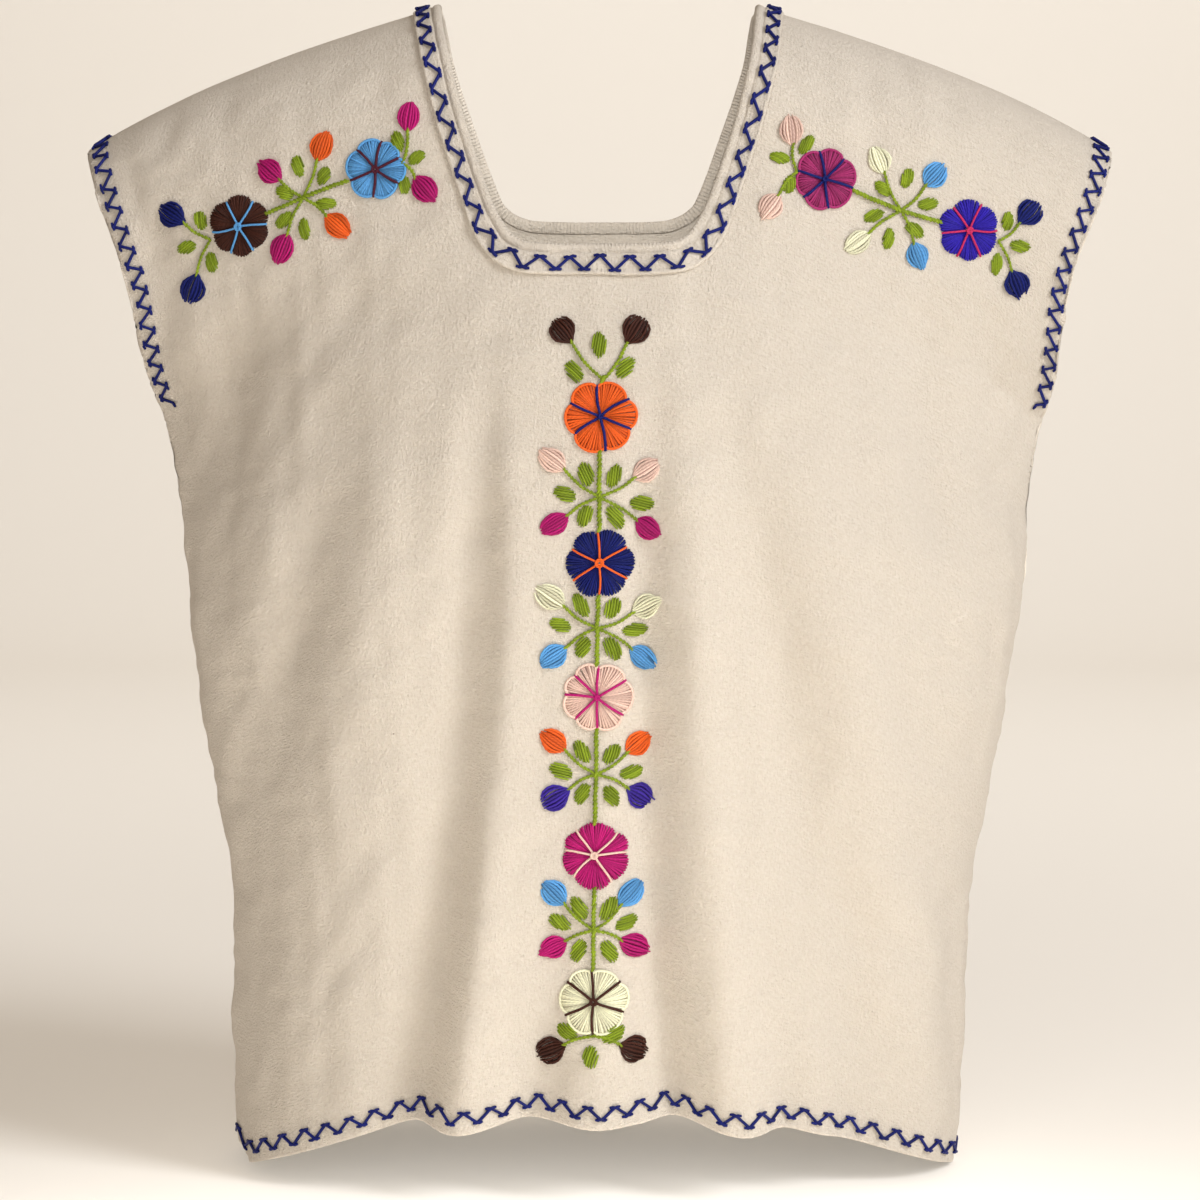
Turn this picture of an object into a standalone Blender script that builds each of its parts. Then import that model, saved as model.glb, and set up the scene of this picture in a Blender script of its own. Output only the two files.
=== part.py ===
"""Embroidered cotton blouse, filled out as worn: two straight-cut panels and the neck bands.

X runs from the wearer's right to left, the front faces -Y and Z is up. The origin is the mount
between the shoulders, level with the top of the neck opening. Lengths are in metres.
"""

import math

import bmesh
import bpy
import numpy as np
from mathutils import Vector, geometry

# Sizes of the cut, in metres
DROP = 0.666  # neck point down to the hem's corners
SLEEVE_HALF = 0.293  # middle to the top of a cuff
SHOULDER_ROUND = 0.090  # drop over which the cloth turns down off the shoulder
UNDERARM_DROP = 0.154  # top of a cuff down to the underarm
HEM_RISE_FRONT = 0.044  # how much higher the middle of the hem hangs than its corners
HEM_RISE_BACK = 0.022
HEM_CURVE = 2.4
RIGHT_LIFT = 0.005  # the hem on the wearer's right hangs this much higher
CORNER_LIFT = 0.006  # the hem lifts this much where it meets the wearer's right side seam
CORNER_SHARE = 0.95  # share of the half width where that lift begins
CUFF_GAP_FRONT = 0.038  # how far each cuff edge stands from the middle plane
CUFF_GAP_BACK = 0.042
CLOTH = 0.0012  # wall of one panel
HEM_FOLD = 0.0009  # extra cloth of the turned hem and cuffs, on the inside
HEM_WIDTH = 0.018
SEAM_GAP = 0.0003
CRISP_SEAM = 0.00045  # extra setback where the side seam is a sharp edge

# Neck band: one folded strip, wide outside and narrow inside
BAND_WIDTH = 0.0142  # down the sides of the neck
BAND_WIDEN = 0.0026  # added to the width along the bottom of the neck
BAND_INSIDE = 0.008
BAND_CLOTH = 0.0011
BAND_GAP = 0.0004
BAND_RIDGE = 0.0007  # the turned outer edge stands this much prouder

# Mesh spacing
CELL_FRONT = 0.0150
CELL_BACK = 0.0185
NECK_STEP = 0.0095
GRAIN_ACROSS = 0.290  # metres of cloth per unit of q
GRAIN_DOWN = 0.730  # metres of cloth per unit of v
CELL_STRETCH = 1.3  # the cells are this much longer down than a square one, as the folds run down

# Ridge of the shoulders: distance from the middle, height (mm)
SHOULDER_LINE = ((0, 0), (88, 0), (108, -6), (140, -16), (180, -30), (220, -46), (256, -63), (293, -82))

# Half width of the filled-out blouse: height, wearer's right, wearer's left (mm)
HALF_WIDTHS = (
    (0, 293, 295),
    (-82, 292, 294),
    (-105, 285, 287),
    (-125, 278, 279),
    (-145, 271, 271),
    (-170, 265, 266),
    (-196, 261, 264),
    (-215, 257, 262),
    (-236, 250, 257),
    (-283, 242, 249),
    (-318, 238, 248),
    (-364, 234, 241),
    (-428, 225, 231),
    (-487, 215, 219),
    (-520, 211, 215),
    (-560, 212, 214),
    (-600, 212, 212),
    (-640, 210, 209),
    (-670, 207, 206),
)

# Depth of the middle of each panel: drop below the shoulder, front, back (mm)
DEPTHS = (
    (0, 0, 0),
    (45, 0, 0),
    (90, 2, 2),
    (150, 18, 13),
    (210, 32, 20),
    (270, 39, 21),
    (340, 38, 18),
    (450, 34, 17),
    (560, 38, 22),
    (700, 46, 32),
)
SHOULDER_DEPTH = (0.078, 0.082)  # reached once the cloth has turned down, front and back

# Neck edge: half width, height (mm), from the shoulder to the middle
NECK_FRONT = (
    (91, 0), (89.5, -12), (86, -34), (77, -70), (63.5, -110), (55, -127), (47, -135.5),
    (34, -138.5), (0, -139),
)
NECK_BACK = (
    (91, 0), (89.5, -12), (86, -34), (73, -74), (61, -106), (55, -114.5), (46, -119.5),
    (34, -121.5), (0, -122),
)

NECK_SHIFT_FRONT = 0.002  # the wearer's right side of the worn neck sits this much further in
NECK_SHIFT_BACK = 0.001

# Folds of each panel (mm). Columns: name, panel, path at its top, middle and bottom as x and z,
# width at top and bottom, height at top, middle and bottom (minus for a trough).
FRONT, BACK = -1, 1
FOLDS = (
    ("right shoulder trough", FRONT, -190, -140, -211, -234, -228, -318, 14, 18, 0, -7, 0),
    ("right side trough", FRONT, -140, -205, -169, -350, -214, -500, 14, 24, 0, -9, -2),
    ("right side swell", FRONT, -106, -220, -133, -390, -168, -666, 22, 34, 0, 7, 8),
    ("right column trough", FRONT, -66, -165, -70, -360, -106, -630, 13, 20, 0, -7, -12),
    ("right column ridge", FRONT, -44, -163, -48, -370, -78, -630, 13, 20, 0, 5, 12),
    ("right hem trough", FRONT, -20, -470, -27, -550, -38, -622, 11, 16, 0, -3, -10),
    ("middle hem ridge", FRONT, 0, -430, 0, -530, 0, -625, 12, 19, 0, 2, 8),
    ("left column trough", FRONT, 33, -165, 25, -380, 45, -622, 13, 17, 0, -7, -12),
    ("left column ridge", FRONT, 46, -170, 56, -370, 75, -630, 13, 21, 0, 6, 11),
    ("left hem trough", FRONT, 104, -540, 106, -590, 107, -632, 11, 14, 0, -3, -8),
    ("left side trough", FRONT, 66, -180, 101, -370, 140, -600, 14, 24, 0, -8, -6),
    ("left side swell", FRONT, 104, -190, 142, -376, 186, -600, 18, 26, 0, 7, 3),
    ("left shoulder trough", FRONT, 176, -140, 188, -260, 208, -360, 13, 16, 0, -8, 0),
    ("back right ridge", BACK, -96, -210, -108, -400, -120, -650, 24, 32, 0, 6, 11),
    ("back right trough", BACK, -50, -190, -58, -400, -66, -650, 18, 28, 0, -5, -12),
    ("back middle ridge", BACK, -6, -240, -4, -430, -2, -645, 22, 28, 0, 4, 9),
    ("back left trough", BACK, 54, -190, 56, -400, 62, -650, 18, 28, 0, -5, -12),
    ("back left ridge", BACK, 98, -210, 108, -400, 122, -650, 24, 32, 0, 6, 11),
    ("back right side swell", BACK, -190, -330, -206, -430, -196, -540, 18, 22, 0, 6, 0),
)
HEM_SAG = 0.28  # a ridge's hem hangs this share of its height lower

CUFF_FLARE = 0.003  # the back of the left cuff reaches this much further out than its front


def smooth_curve(rows, column):
    """Return a function through the table's rows that has no corners."""
    knots = np.array([row[0] for row in rows], float) / 1000
    heights = np.array([row[column] for row in rows], float) / 1000
    if knots[0] > knots[-1]:
        knots, heights = knots[::-1], heights[::-1]
    slopes = np.gradient(heights, knots)

    def value(at):
        at = np.clip(at, knots[0], knots[-1])
        i = np.clip(np.searchsorted(knots, at) - 1, 0, len(knots) - 2)
        step = knots[i + 1] - knots[i]
        t = (at - knots[i]) / step
        return (
            (1 + 2 * t) * (1 - t) ** 2 * heights[i]
            + t * (1 - t) ** 2 * step * slopes[i]
            + t * t * (3 - 2 * t) * heights[i + 1]
            + t * t * (t - 1) * step * slopes[i + 1]
        )

    return value


def ease(low, high, at):
    """Rise smoothly from 0 at low to 1 at high."""
    t = np.clip((at - low) / (high - low), 0, 1)
    return t * t * (3 - 2 * t)


class Section:
    """A cross section |s|^p + |c|^r = 1, followed at an even pace along the cloth."""

    aspects = np.linspace(0, 0.7, 15)
    angles = np.linspace(0, math.pi / 2, 401)
    evenly = np.linspace(0, 1, 401)

    def __init__(self, p, r):
        self.p, self.r = p, r
        across = np.sin(self.angles)
        self.turns = []
        for aspect in self.aspects:
            steps = np.hypot(np.diff(across), aspect * np.diff(self.depth(across)))
            pace = np.concatenate([[0], np.cumsum(steps)]) / steps.sum()
            self.turns.append(np.interp(self.evenly, pace, self.angles))
        self.turns = np.array(self.turns)

    def depth(self, across):
        return np.maximum(1 - np.abs(across) ** self.p, 0) ** (1 / self.r)

    def at(self, q, aspect):
        """Share of the half width and of the depth at q of the way round to the side."""
        last = len(self.evenly) - 1
        row = np.clip(aspect / self.aspects[1], 0, len(self.aspects) - 1.001)
        column = np.clip(np.abs(q) * last, 0, last - 0.001)
        i, j = row.astype(int), column.astype(int)
        a, b = row - i, column - j
        near = self.turns[i, j] * (1 - b) + self.turns[i, j + 1] * b
        far = self.turns[i + 1, j] * (1 - b) + self.turns[i + 1, j + 1] * b
        across = np.sin(near * (1 - a) + far * a)
        return np.sign(q) * across, self.depth(across)


SHARP = Section(2.2, 1.0)  # over the sleeves, where front and back part at the cuffs
ROUND = Section(2.2, 1.95)  # round the body

shoulder_height = smooth_curve(SHOULDER_LINE, 1)
half_right, half_left = smooth_curve(HALF_WIDTHS, 1), smooth_curve(HALF_WIDTHS, 2)
depth_extra = {FRONT: smooth_curve(DEPTHS, 1), BACK: smooth_curve(DEPTHS, 2)}

# Along v the cloth first turns down off the shoulder and then hangs at an even pace
TURN_V = 1 / (1 + (DROP - SHOULDER_ROUND) / (SHOULDER_ROUND * math.pi / 2))
HANG_PACE = SHOULDER_ROUND * math.pi / 2 / TURN_V
UNDERARM_SHARE = UNDERARM_DROP / (DROP + shoulder_height(np.float64(SLEEVE_HALF)))
UNDERARM_V = TURN_V + (UNDERARM_SHARE * DROP - SHOULDER_ROUND) / HANG_PACE


def drop_share(v):
    """Share of the way down to the hem."""
    turning = SHOULDER_ROUND * (1 - np.cos(np.minimum(v / TURN_V, 1) * math.pi / 2))
    return (turning + np.maximum(v - TURN_V, 0) * HANG_PACE) / DROP


def drop_share_back(share):
    """The v that lies at this share of the way down."""
    drop = np.clip(share, 0, 1) * DROP
    turning = np.arccos(np.clip(1 - drop / SHOULDER_ROUND, 0, 1)) / (math.pi / 2) * TURN_V
    return np.where(drop < SHOULDER_ROUND, turning, TURN_V + (drop - SHOULDER_ROUND) / HANG_PACE)


def section_mix(q, v, aspect):
    sharp = 1 - ease(UNDERARM_V - 0.02, UNDERARM_V + 0.22, v)
    s1, c1 = SHARP.at(q, aspect)
    s2, c2 = ROUND.at(q, aspect)
    return s1 * sharp + s2 * (1 - sharp), c1 * sharp + c2 * (1 - sharp), sharp


def middle_depth(v, side):
    turn = np.sin(np.minimum(v / TURN_V, 1) * math.pi / 2)
    rounding = SHOULDER_DEPTH[0 if side == FRONT else 1] * turn
    return rounding + depth_extra[side](drop_share(v) * DROP)


def hem_height(across, side):
    rise = HEM_RISE_FRONT if side == FRONT else HEM_RISE_BACK
    share = np.where(across < 0, np.minimum(-across / CORNER_SHARE, 1), across)
    lift = CORNER_LIFT * ease(CORNER_SHARE, 1, -across) + RIGHT_LIFT * ease(0.15, 0.7, -across)
    return -DROP + rise * (1 - share**HEM_CURVE) + lift


def hanging(q, v, side):
    """The panel without its folds: points and the share of the half width."""
    depth = middle_depth(v, side)
    across, bulge, sharp = section_mix(q, v, depth / 0.25)
    ridge = shoulder_height(np.abs(q) * SLEEVE_HALF)
    z = ridge + (hem_height(across, side) - ridge) * drop_share(v)
    x = across * np.where(q < 0, half_right(z), half_left(z))
    opening = np.sin(np.clip(v / UNDERARM_V, 0, 1) * math.pi)
    gap = (CUFF_GAP_FRONT if side == FRONT else CUFF_GAP_BACK) * opening
    gap = np.minimum(gap, depth)
    if side == BACK:
        x = x + CUFF_FLARE * opening * ease(0.80, 1.0, q)
    y = gap + (depth - gap) * bulge
    y = y + SEAM_GAP / 2 + CRISP_SEAM * sharp * ease(0, 0.02, v)
    return np.stack([x, side * y, z], -1)


def fold_height(x, z, side):
    total = np.zeros_like(x)
    for name, panel, x1, z1, x2, z2, x3, z3, w1, w3, h1, h2, h3 in FOLDS:
        if panel != side:
            continue
        t = (z * 1000 - z1) / (z3 - z1)
        t2 = (z2 - z1) / (z3 - z1)
        low, high = np.clip(t / t2, 0, 1), np.clip((t - t2) / (1 - t2), 0, 1)
        bend = (x2 - x1 - (x3 - x1) * t2) / (t2 * (t2 - 1))
        inside = np.clip(t, 0, 1.1)
        middle = x1 + (x3 - x1) * inside + bend * inside * (inside - 1)
        width = w1 + (w3 - w1) * inside
        height = np.where(t < t2, h1 + (h2 - h1) * ease(0, 1, low), h2 + (h3 - h2) * ease(0, 1, high))
        height = height * (t > 0)
        if h3 == 0:
            height = height * (t < 1)
        total += height / 1000 * np.exp(-(((x * 1000 - middle) / width) ** 2))
    return total


def surface(q, v, side):
    """Middle of the cloth, with its folds."""
    base = hanging(q, v, side)
    height = fold_height(base[..., 0], base[..., 2], side)
    height = height * (1 - np.abs(q) ** 10)
    step = 1e-4
    ahead = hanging(np.clip(q + step, -1, 1), v, side) - hanging(np.clip(q - step, -1, 1), v, side)
    out = np.stack([ahead[..., 1], -ahead[..., 0], np.zeros_like(q)], -1) * -side
    out /= np.linalg.norm(out, axis=-1, keepdims=True)
    sag = height * HEM_SAG * ease(0.45, 1, v)
    return base + out * height[..., None] - np.stack([0 * sag, 0 * sag, sag], -1)


def slopes(q, v, side):
    step = 2e-4
    q_low, q_high = np.clip(q - step, -1, 1), np.clip(q + step, -1, 1)
    v_low, v_high = np.clip(v - step, 0, 1), np.clip(v + step, 0, 1)
    along_q = (surface(q_high, v, side) - surface(q_low, v, side)) / (q_high - q_low)[..., None]
    along_v = (surface(q, v_high, side) - surface(q, v_low, side)) / (v_high - v_low)[..., None]
    return along_q, along_v


def normals(q, v, side):
    along_q, along_v = slopes(q, v, side)
    across = np.cross(along_q, along_v) * side
    return across / np.linalg.norm(across, axis=-1, keepdims=True)


def place_of(x, z, side):
    """The q and v of the unfolded panel's point at this x and z."""
    q = x / SLEEVE_HALF
    v = drop_share_back(-z / DROP)
    for _ in range(40):
        point = hanging(q, v, side)
        q = np.clip(q + (x - point[..., 0]) / GRAIN_ACROSS, -1, 1)
        across = section_mix(q, v, middle_depth(v, side) / 0.25)[0]
        ridge = shoulder_height(np.abs(q) * SLEEVE_HALF)
        hem = hem_height(across, side)
        v = drop_share_back(np.clip((z - ridge) / (hem - ridge), 0, 1))
    return q, v


def curve_through(points, spacing):
    """Points at an even spacing along a smooth curve through these."""
    points = np.array(points, float)
    padded = np.vstack([2 * points[0] - points[1], points, 2 * points[-1] - points[-2]])
    t = np.linspace(0, 1, 20, endpoint=False)[:, None]
    dense = []
    for a, b, c, d in zip(padded, padded[1:], padded[2:], padded[3:]):
        dense.append(
            b + 0.5 * t * (c - a + t * (2 * a - 5 * b + 4 * c - d + t * (3 * (b - c) + d - a)))
        )
    dense = np.vstack(dense + [points[-1:]])
    run = np.concatenate([[0], np.cumsum(np.linalg.norm(np.diff(dense, axis=0), axis=1))])
    even = np.linspace(0, run[-1], int(round(run[-1] / spacing)) + 1)
    return np.stack([np.interp(even, run, dense[:, 0]), np.interp(even, run, dense[:, 1])], -1)


def neck_edge(side):
    """Stations of the neck edge as q and v, from the wearer's right shoulder to the left."""
    table = NECK_FRONT if side == FRONT else NECK_BACK
    half = [(-x / 1000, z / 1000) for x, z in table]
    stations = curve_through(half + [(-x, z) for x, z in half[-2::-1]], NECK_STEP)
    shift = NECK_SHIFT_FRONT if side == FRONT else NECK_SHIFT_BACK
    stations[:, 0] += shift * ease(0, 0.040, -stations[:, 1]) * ease(-0.030, 0.030, -stations[:, 0])
    q, v = place_of(stations[:, 0], stations[:, 1], side)
    v[0] = v[-1] = 0
    return np.stack([q, v], -1)


def band_width(stations, side):
    """Width of the neck band at each station, widest along the bottom."""
    height = surface(stations[:, 0], stations[:, 1], side)[:, 2]
    bottom = height.min()
    return BAND_WIDTH + BAND_WIDEN * (1 - ease(bottom, bottom + 0.035, height))


def stepped_out(stations, distance, side):
    """The same stations moved over the cloth, away from the neck."""
    place = stations.copy()
    steps = 6
    for _ in range(steps):
        q, v = place.T
        along_q, along_v = slopes(q, v, side)
        run = np.gradient(surface(q, v, side), axis=0)
        away = np.cross(normals(q, v, side), run)
        away /= np.linalg.norm(away, axis=-1, keepdims=True)
        middle = np.array([0, 0, -0.05])
        flip = np.sign(((surface(q, v, side) - middle) * away).sum(-1))
        away *= flip[:, None]
        e, f, g = (along_q**2).sum(-1), (along_q * along_v).sum(-1), (along_v**2).sum(-1)
        a, b = (along_q * away).sum(-1), (along_v * away).sum(-1)
        det = e * g - f * f
        place[:, 0] += (g * a - f * b) / det * distance / steps
        place[:, 1] += (e * b - f * a) / det * distance / steps
        place[0, 1] = place[-1, 1] = 0
    return place


NET_SCALE = np.array([GRAIN_ACROSS * CELL_STRETCH, GRAIN_DOWN / CELL_STRETCH])


def spread(a, b, spacing):
    """Evenly spaced places from a to b, both ends included."""
    a, b = np.array(a, float), np.array(b, float)
    length = np.hypot(*((b - a) * NET_SCALE))
    return a + (b - a) * np.linspace(0, 1, max(int(round(length / spacing)), 1) + 1)[:, None]


def panel_mesh(side):
    """Outline, inner lines and an even net of places, joined into triangles."""
    cell = CELL_FRONT if side == FRONT else CELL_BACK
    edge = neck_edge(side)
    inside_row = stepped_out(edge, BAND_INSIDE, side)
    outside_row = stepped_out(edge, band_width(edge, side), side)
    rows = [edge, inside_row, outside_row]
    start, end = outside_row[0], outside_row[-1]
    cuff_row = 1 - HEM_WIDTH / GRAIN_ACROSS
    hem_row = 1 - HEM_WIDTH / GRAIN_DOWN
    loop = [
        edge[0], inside_row[0],
        *spread(start, (-cuff_row, 0), cell), *spread((-cuff_row, 0), (-1, 0), cell)[1:],
        *spread((-1, 0), (-1, UNDERARM_V), cell)[1:],
        *spread((-1, UNDERARM_V), (-1, hem_row), cell)[1:], *spread((-1, hem_row), (-1, 1), cell)[1:],
        *spread((-1, 1), (1, 1), cell)[1:],
        *spread((1, 1), (1, hem_row), cell)[1:], *spread((1, hem_row), (1, UNDERARM_V), cell)[1:],
        *spread((1, UNDERARM_V), (1, 0), cell)[1:],
        *spread((1, 0), (cuff_row, 0), cell)[1:], *spread((cuff_row, 0), end, cell)[1:],
        inside_row[-1], *edge[::-1][:-1],
    ]
    lines = [inside_row, outside_row]
    lines.append(spread((-1, hem_row), (1, hem_row), cell))
    for sign in (-1, 1):
        lines.append(spread((sign * cuff_row, 0), (sign * cuff_row, UNDERARM_V), cell))

    places, index = [], {}

    def number(place):
        key = (round(float(place[0]), 6), round(float(place[1]), 6))
        if key not in index:
            index[key] = len(places)
            places.append(key)
        return index[key]

    outline = [number(place) for place in loop]
    inner = []
    for line in lines:
        marks = [number(place) for place in line]
        inner += list(zip(marks, marks[1:]))
    fixed = np.array(places) * NET_SCALE
    pairs = list(zip(outline, outline[1:] + outline[:1]))
    segments = np.array([(fixed[a], fixed[b]) for a, b in pairs + inner])
    ring = fixed[outline]

    width, height = NET_SCALE
    rows_down = int(height / (cell * 0.866)) + 1
    candidates = []
    for j in range(1, rows_down):
        shift = 0.5 * (j % 2)
        count = int(width / cell) + 1
        for i in range(-count, count + 1):
            candidates.append(((i + shift) * cell, j * height / rows_down))
    candidates = np.array(candidates)
    a, b = segments[:, 0], segments[:, 1]
    along = b - a
    t = ((candidates[:, None] - a) * along).sum(-1) / (along**2).sum(-1)
    nearest = a + np.clip(t, 0, 1)[..., None] * along
    clear = np.linalg.norm(candidates[:, None] - nearest, axis=-1).min(1) > 0.55 * cell
    r1, r2 = ring, np.roll(ring, -1, axis=0)
    above = (r1[:, 1] > candidates[:, None, 1]) != (r2[:, 1] > candidates[:, None, 1])
    with np.errstate(divide="ignore", invalid="ignore"):
        share = (candidates[:, None, 1] - r1[:, 1]) / (r2[:, 1] - r1[:, 1])
        cross_x = r1[:, 0] + share * (r2[:, 0] - r1[:, 0])
    inside = (above & (candidates[:, None, 0] < cross_x)).sum(1) % 2 == 1
    kept = candidates[clear & inside]
    points = [Vector(p) for p in np.vstack([fixed, kept])]
    result = geometry.delaunay_2d_cdt(points, pairs + inner, [outline], 1, 1e-7)
    flat = np.array([tuple(p) for p in result[0]])
    triangles = [tuple(face) for face in result[2] if len(face) == 3]
    origins = {old: new for new, olds in enumerate(result[3]) for old in olds}
    marks = [[origins[number(place)] for place in row] for row in rows]
    return flat / NET_SCALE, triangles, marks, (hem_row, cuff_row)


def boundary_edges(triangles):
    """Directed edges used by one triangle only."""
    directed = {(t[i], t[(i + 1) % 3]) for t in triangles for i in range(3)}
    return [(a, b) for a, b in directed if (b, a) not in directed]


def finish(name, points, faces, material):
    mesh = bpy.data.meshes.new(name)
    mesh.from_pydata([tuple(p) for p in points], [], faces)
    work = bmesh.new()
    work.from_mesh(mesh)
    bmesh.ops.remove_doubles(work, verts=work.verts, dist=1e-5)
    bmesh.ops.dissolve_degenerate(work, dist=1e-6, edges=work.edges)
    bmesh.ops.recalc_face_normals(work, faces=work.faces)
    for face in work.faces:
        face.smooth = True
    work.to_mesh(mesh)
    work.free()
    mesh.materials.append(material)
    item = bpy.data.objects.new(name, mesh)
    bpy.context.scene.collection.objects.link(item)
    return item


def make_panel(name, side, material):
    places, triangles, marks, (hem_row, cuff_row) = panel_mesh(side)
    q, v = np.clip(places[:, 0], -1, 1), np.clip(places[:, 1], 0, 1)
    middle, out = surface(q, v, side), normals(q, v, side)
    turned = (v > hem_row - 1e-4) | ((np.abs(q) > cuff_row - 1e-4) & (v < UNDERARM_V - 0.03))
    inward = CLOTH / 2 + HEM_FOLD * turned
    count = len(middle)
    points = np.vstack([middle + out * CLOTH / 2, middle - out * inward[:, None]])
    faces = list(triangles) + [tuple(i + count for i in reversed(t)) for t in triangles]
    for a, b in boundary_edges(triangles):
        faces.append((b, a, a + count, b + count))
    finish(name, points, faces, material)
    return places, triangles, marks, middle, out


def make_band(name, side, panel, material):
    """The neck band, from the panel's own places beside the neck edge."""
    places, triangles, (edge, inside_row, outside_row), middle, out = panel
    first = CLOTH / 2 + BAND_GAP
    last = first + BAND_CLOTH
    ring_places = {}
    for level, row in enumerate((edge, inside_row, outside_row)):
        for mark in row:
            ring_places[mark] = level
    outer_leaf = [t for t in triangles if all(m in ring_places for m in t)]
    inner_leaf = [t for t in outer_leaf if all(ring_places[m] < 2 for m in t)]
    points, faces, numbers = [], [], {}

    def corner(mark, kind):
        key = (mark, kind)
        if key not in numbers:
            height = {"over": last, "on": first, "under": -first, "below": -last}[kind]
            if kind == "over" and ring_places[mark] == 2:
                height += BAND_RIDGE
            numbers[key] = len(points)
            points.append(middle[mark] + out[mark] * height)
        return numbers[key]

    def leaf(leaf_triangles, top, bottom):
        for t in leaf_triangles:
            faces.append(tuple(corner(m, top) for m in t))
            faces.append(tuple(corner(m, bottom) for m in reversed(t)))
        along_edge = {frozenset(pair) for pair in zip(edge, edge[1:])}
        for a, b in boundary_edges(leaf_triangles):
            if frozenset((a, b)) not in along_edge:
                faces.append((corner(b, top), corner(a, top), corner(a, bottom), corner(b, bottom)))

    leaf(outer_leaf, "over", "on")
    leaf(inner_leaf, "under", "below")
    toward = np.cross(out[edge], np.gradient(middle[edge], axis=0))
    toward /= np.linalg.norm(toward, axis=-1, keepdims=True)
    away = middle[inside_row] - middle[edge]
    toward *= -np.sign((toward * away).sum(-1))[:, None]
    for end in (0, -1):
        toward[end, 1] = 0
        toward[end] /= np.linalg.norm(toward[end])
    nose = []
    for k, mark in enumerate(edge):
        base, up, on = middle[mark], out[mark], toward[k]
        start = len(points)
        points.append(base + on * (BAND_GAP + BAND_CLOTH) + up * first * 0.7)
        points.append(base + on * (BAND_GAP + BAND_CLOTH) - up * first * 0.7)
        points.append(base + on * BAND_GAP)
        nose.append((
            corner(mark, "over"), start, start + 1, corner(mark, "below"),
            corner(mark, "under"), start + 2, corner(mark, "on"),
        ))
    for here, there in zip(nose, nose[1:]):
        for i in (0, 1, 2, 4, 5):
            faces.append((here[i], here[i + 1], there[i + 1], there[i]))
    for over, n1, n2, below, under, hollow, on in (nose[0], nose[-1]):
        faces += [(over, n1, hollow, on), (n1, n2, hollow), (n2, below, under, hollow)]
    return finish(name, points, faces, material)


def cotton(name, colour, roughness):
    material = bpy.data.materials.new(name)
    material.use_nodes = True
    shader = material.node_tree.nodes["Principled BSDF"]
    shader.inputs["Base Color"].default_value = (*colour, 1)
    shader.inputs["Roughness"].default_value = roughness
    shader.inputs["Metallic"].default_value = 0
    return material


for item in list(bpy.data.objects):
    bpy.data.objects.remove(item)

manta = cotton("Cream manta cotton", (0.80, 0.70, 0.56), 0.92)
band_cotton = cotton("Cream manta cotton band", (0.82, 0.73, 0.59), 0.90)
for panel_name, band_name, side in (
    ("front_panel", "neck_band_front", FRONT),
    ("back_panel", "neck_band_back", BACK),
):
    panel = make_panel(panel_name, side, manta)
    make_band(band_name, side, panel, band_cotton)
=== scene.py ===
# %% [markdown]
# # An embroidered cotton blouse
# The blouse is cut straight from unbleached cotton, with short cap sleeves cut in one with the
# body, a square neck and flowers worked in cotton floss. Here it stands filled out as if worn.
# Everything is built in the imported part's own frame, so first that frame is loaded.

# %% Load the frame
import math
import bmesh
import bpy
import numpy as np
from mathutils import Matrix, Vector, geometry


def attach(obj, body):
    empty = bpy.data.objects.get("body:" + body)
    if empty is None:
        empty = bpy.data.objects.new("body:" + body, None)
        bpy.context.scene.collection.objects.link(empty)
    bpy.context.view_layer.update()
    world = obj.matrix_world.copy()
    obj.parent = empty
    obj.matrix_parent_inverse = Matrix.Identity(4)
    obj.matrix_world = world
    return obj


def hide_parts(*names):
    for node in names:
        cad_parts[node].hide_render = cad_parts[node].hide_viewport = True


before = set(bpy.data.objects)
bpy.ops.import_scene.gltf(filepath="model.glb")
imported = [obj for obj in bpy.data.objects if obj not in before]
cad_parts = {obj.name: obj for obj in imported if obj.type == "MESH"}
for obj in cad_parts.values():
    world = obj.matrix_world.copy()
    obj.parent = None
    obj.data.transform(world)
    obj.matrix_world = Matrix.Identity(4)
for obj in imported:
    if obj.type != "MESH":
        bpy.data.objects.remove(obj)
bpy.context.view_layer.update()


# %% [markdown]
# ## The cloth's form
# Cloth on a figure hangs from the shoulders: it turns down off the shoulder's ridge, goes round
# the chest in an oval and falls in soft folds. So a place on a panel is given by q, from one side
# to the other, and v, from the shoulder to the hem, and short tables say how wide, how deep and
# how creased the cloth is. Lengths are in metres and tables in millimetres.

# %% Sizes of the cut
FRONT, BACK = -1, 1
DROP = 0.666  # neck point down to the hem's corners
SLEEVE_HALF = 0.293
SHOULDER_ROUND = 0.090
UNDERARM_DROP = 0.154
HEM_RISE = {FRONT: 0.044, BACK: 0.022}
HEM_CURVE = 2.4
RIGHT_LIFT = 0.005
CORNER_LIFT, CORNER_SHARE = 0.006, 0.95
NECK_SHIFT = {FRONT: 0.002, BACK: 0.001}
CUFF_GAP = {FRONT: 0.038, BACK: 0.042}
CUFF_FLARE = 0.003
SHOULDER_DEPTH = {FRONT: 0.078, BACK: 0.082}
HEM_SAG = 0.28
CLOTH = 0.0012
SEAM_GAP = 0.0003
TYPICAL_HALF = 0.25  # half width that the sections' depths are compared with
CRISP_SEAM = 0.00045
GRAIN_ACROSS, GRAIN_DOWN = 0.290, 0.730
BAND_WIDTH, BAND_WIDEN = 0.0142, 0.0026

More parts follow.
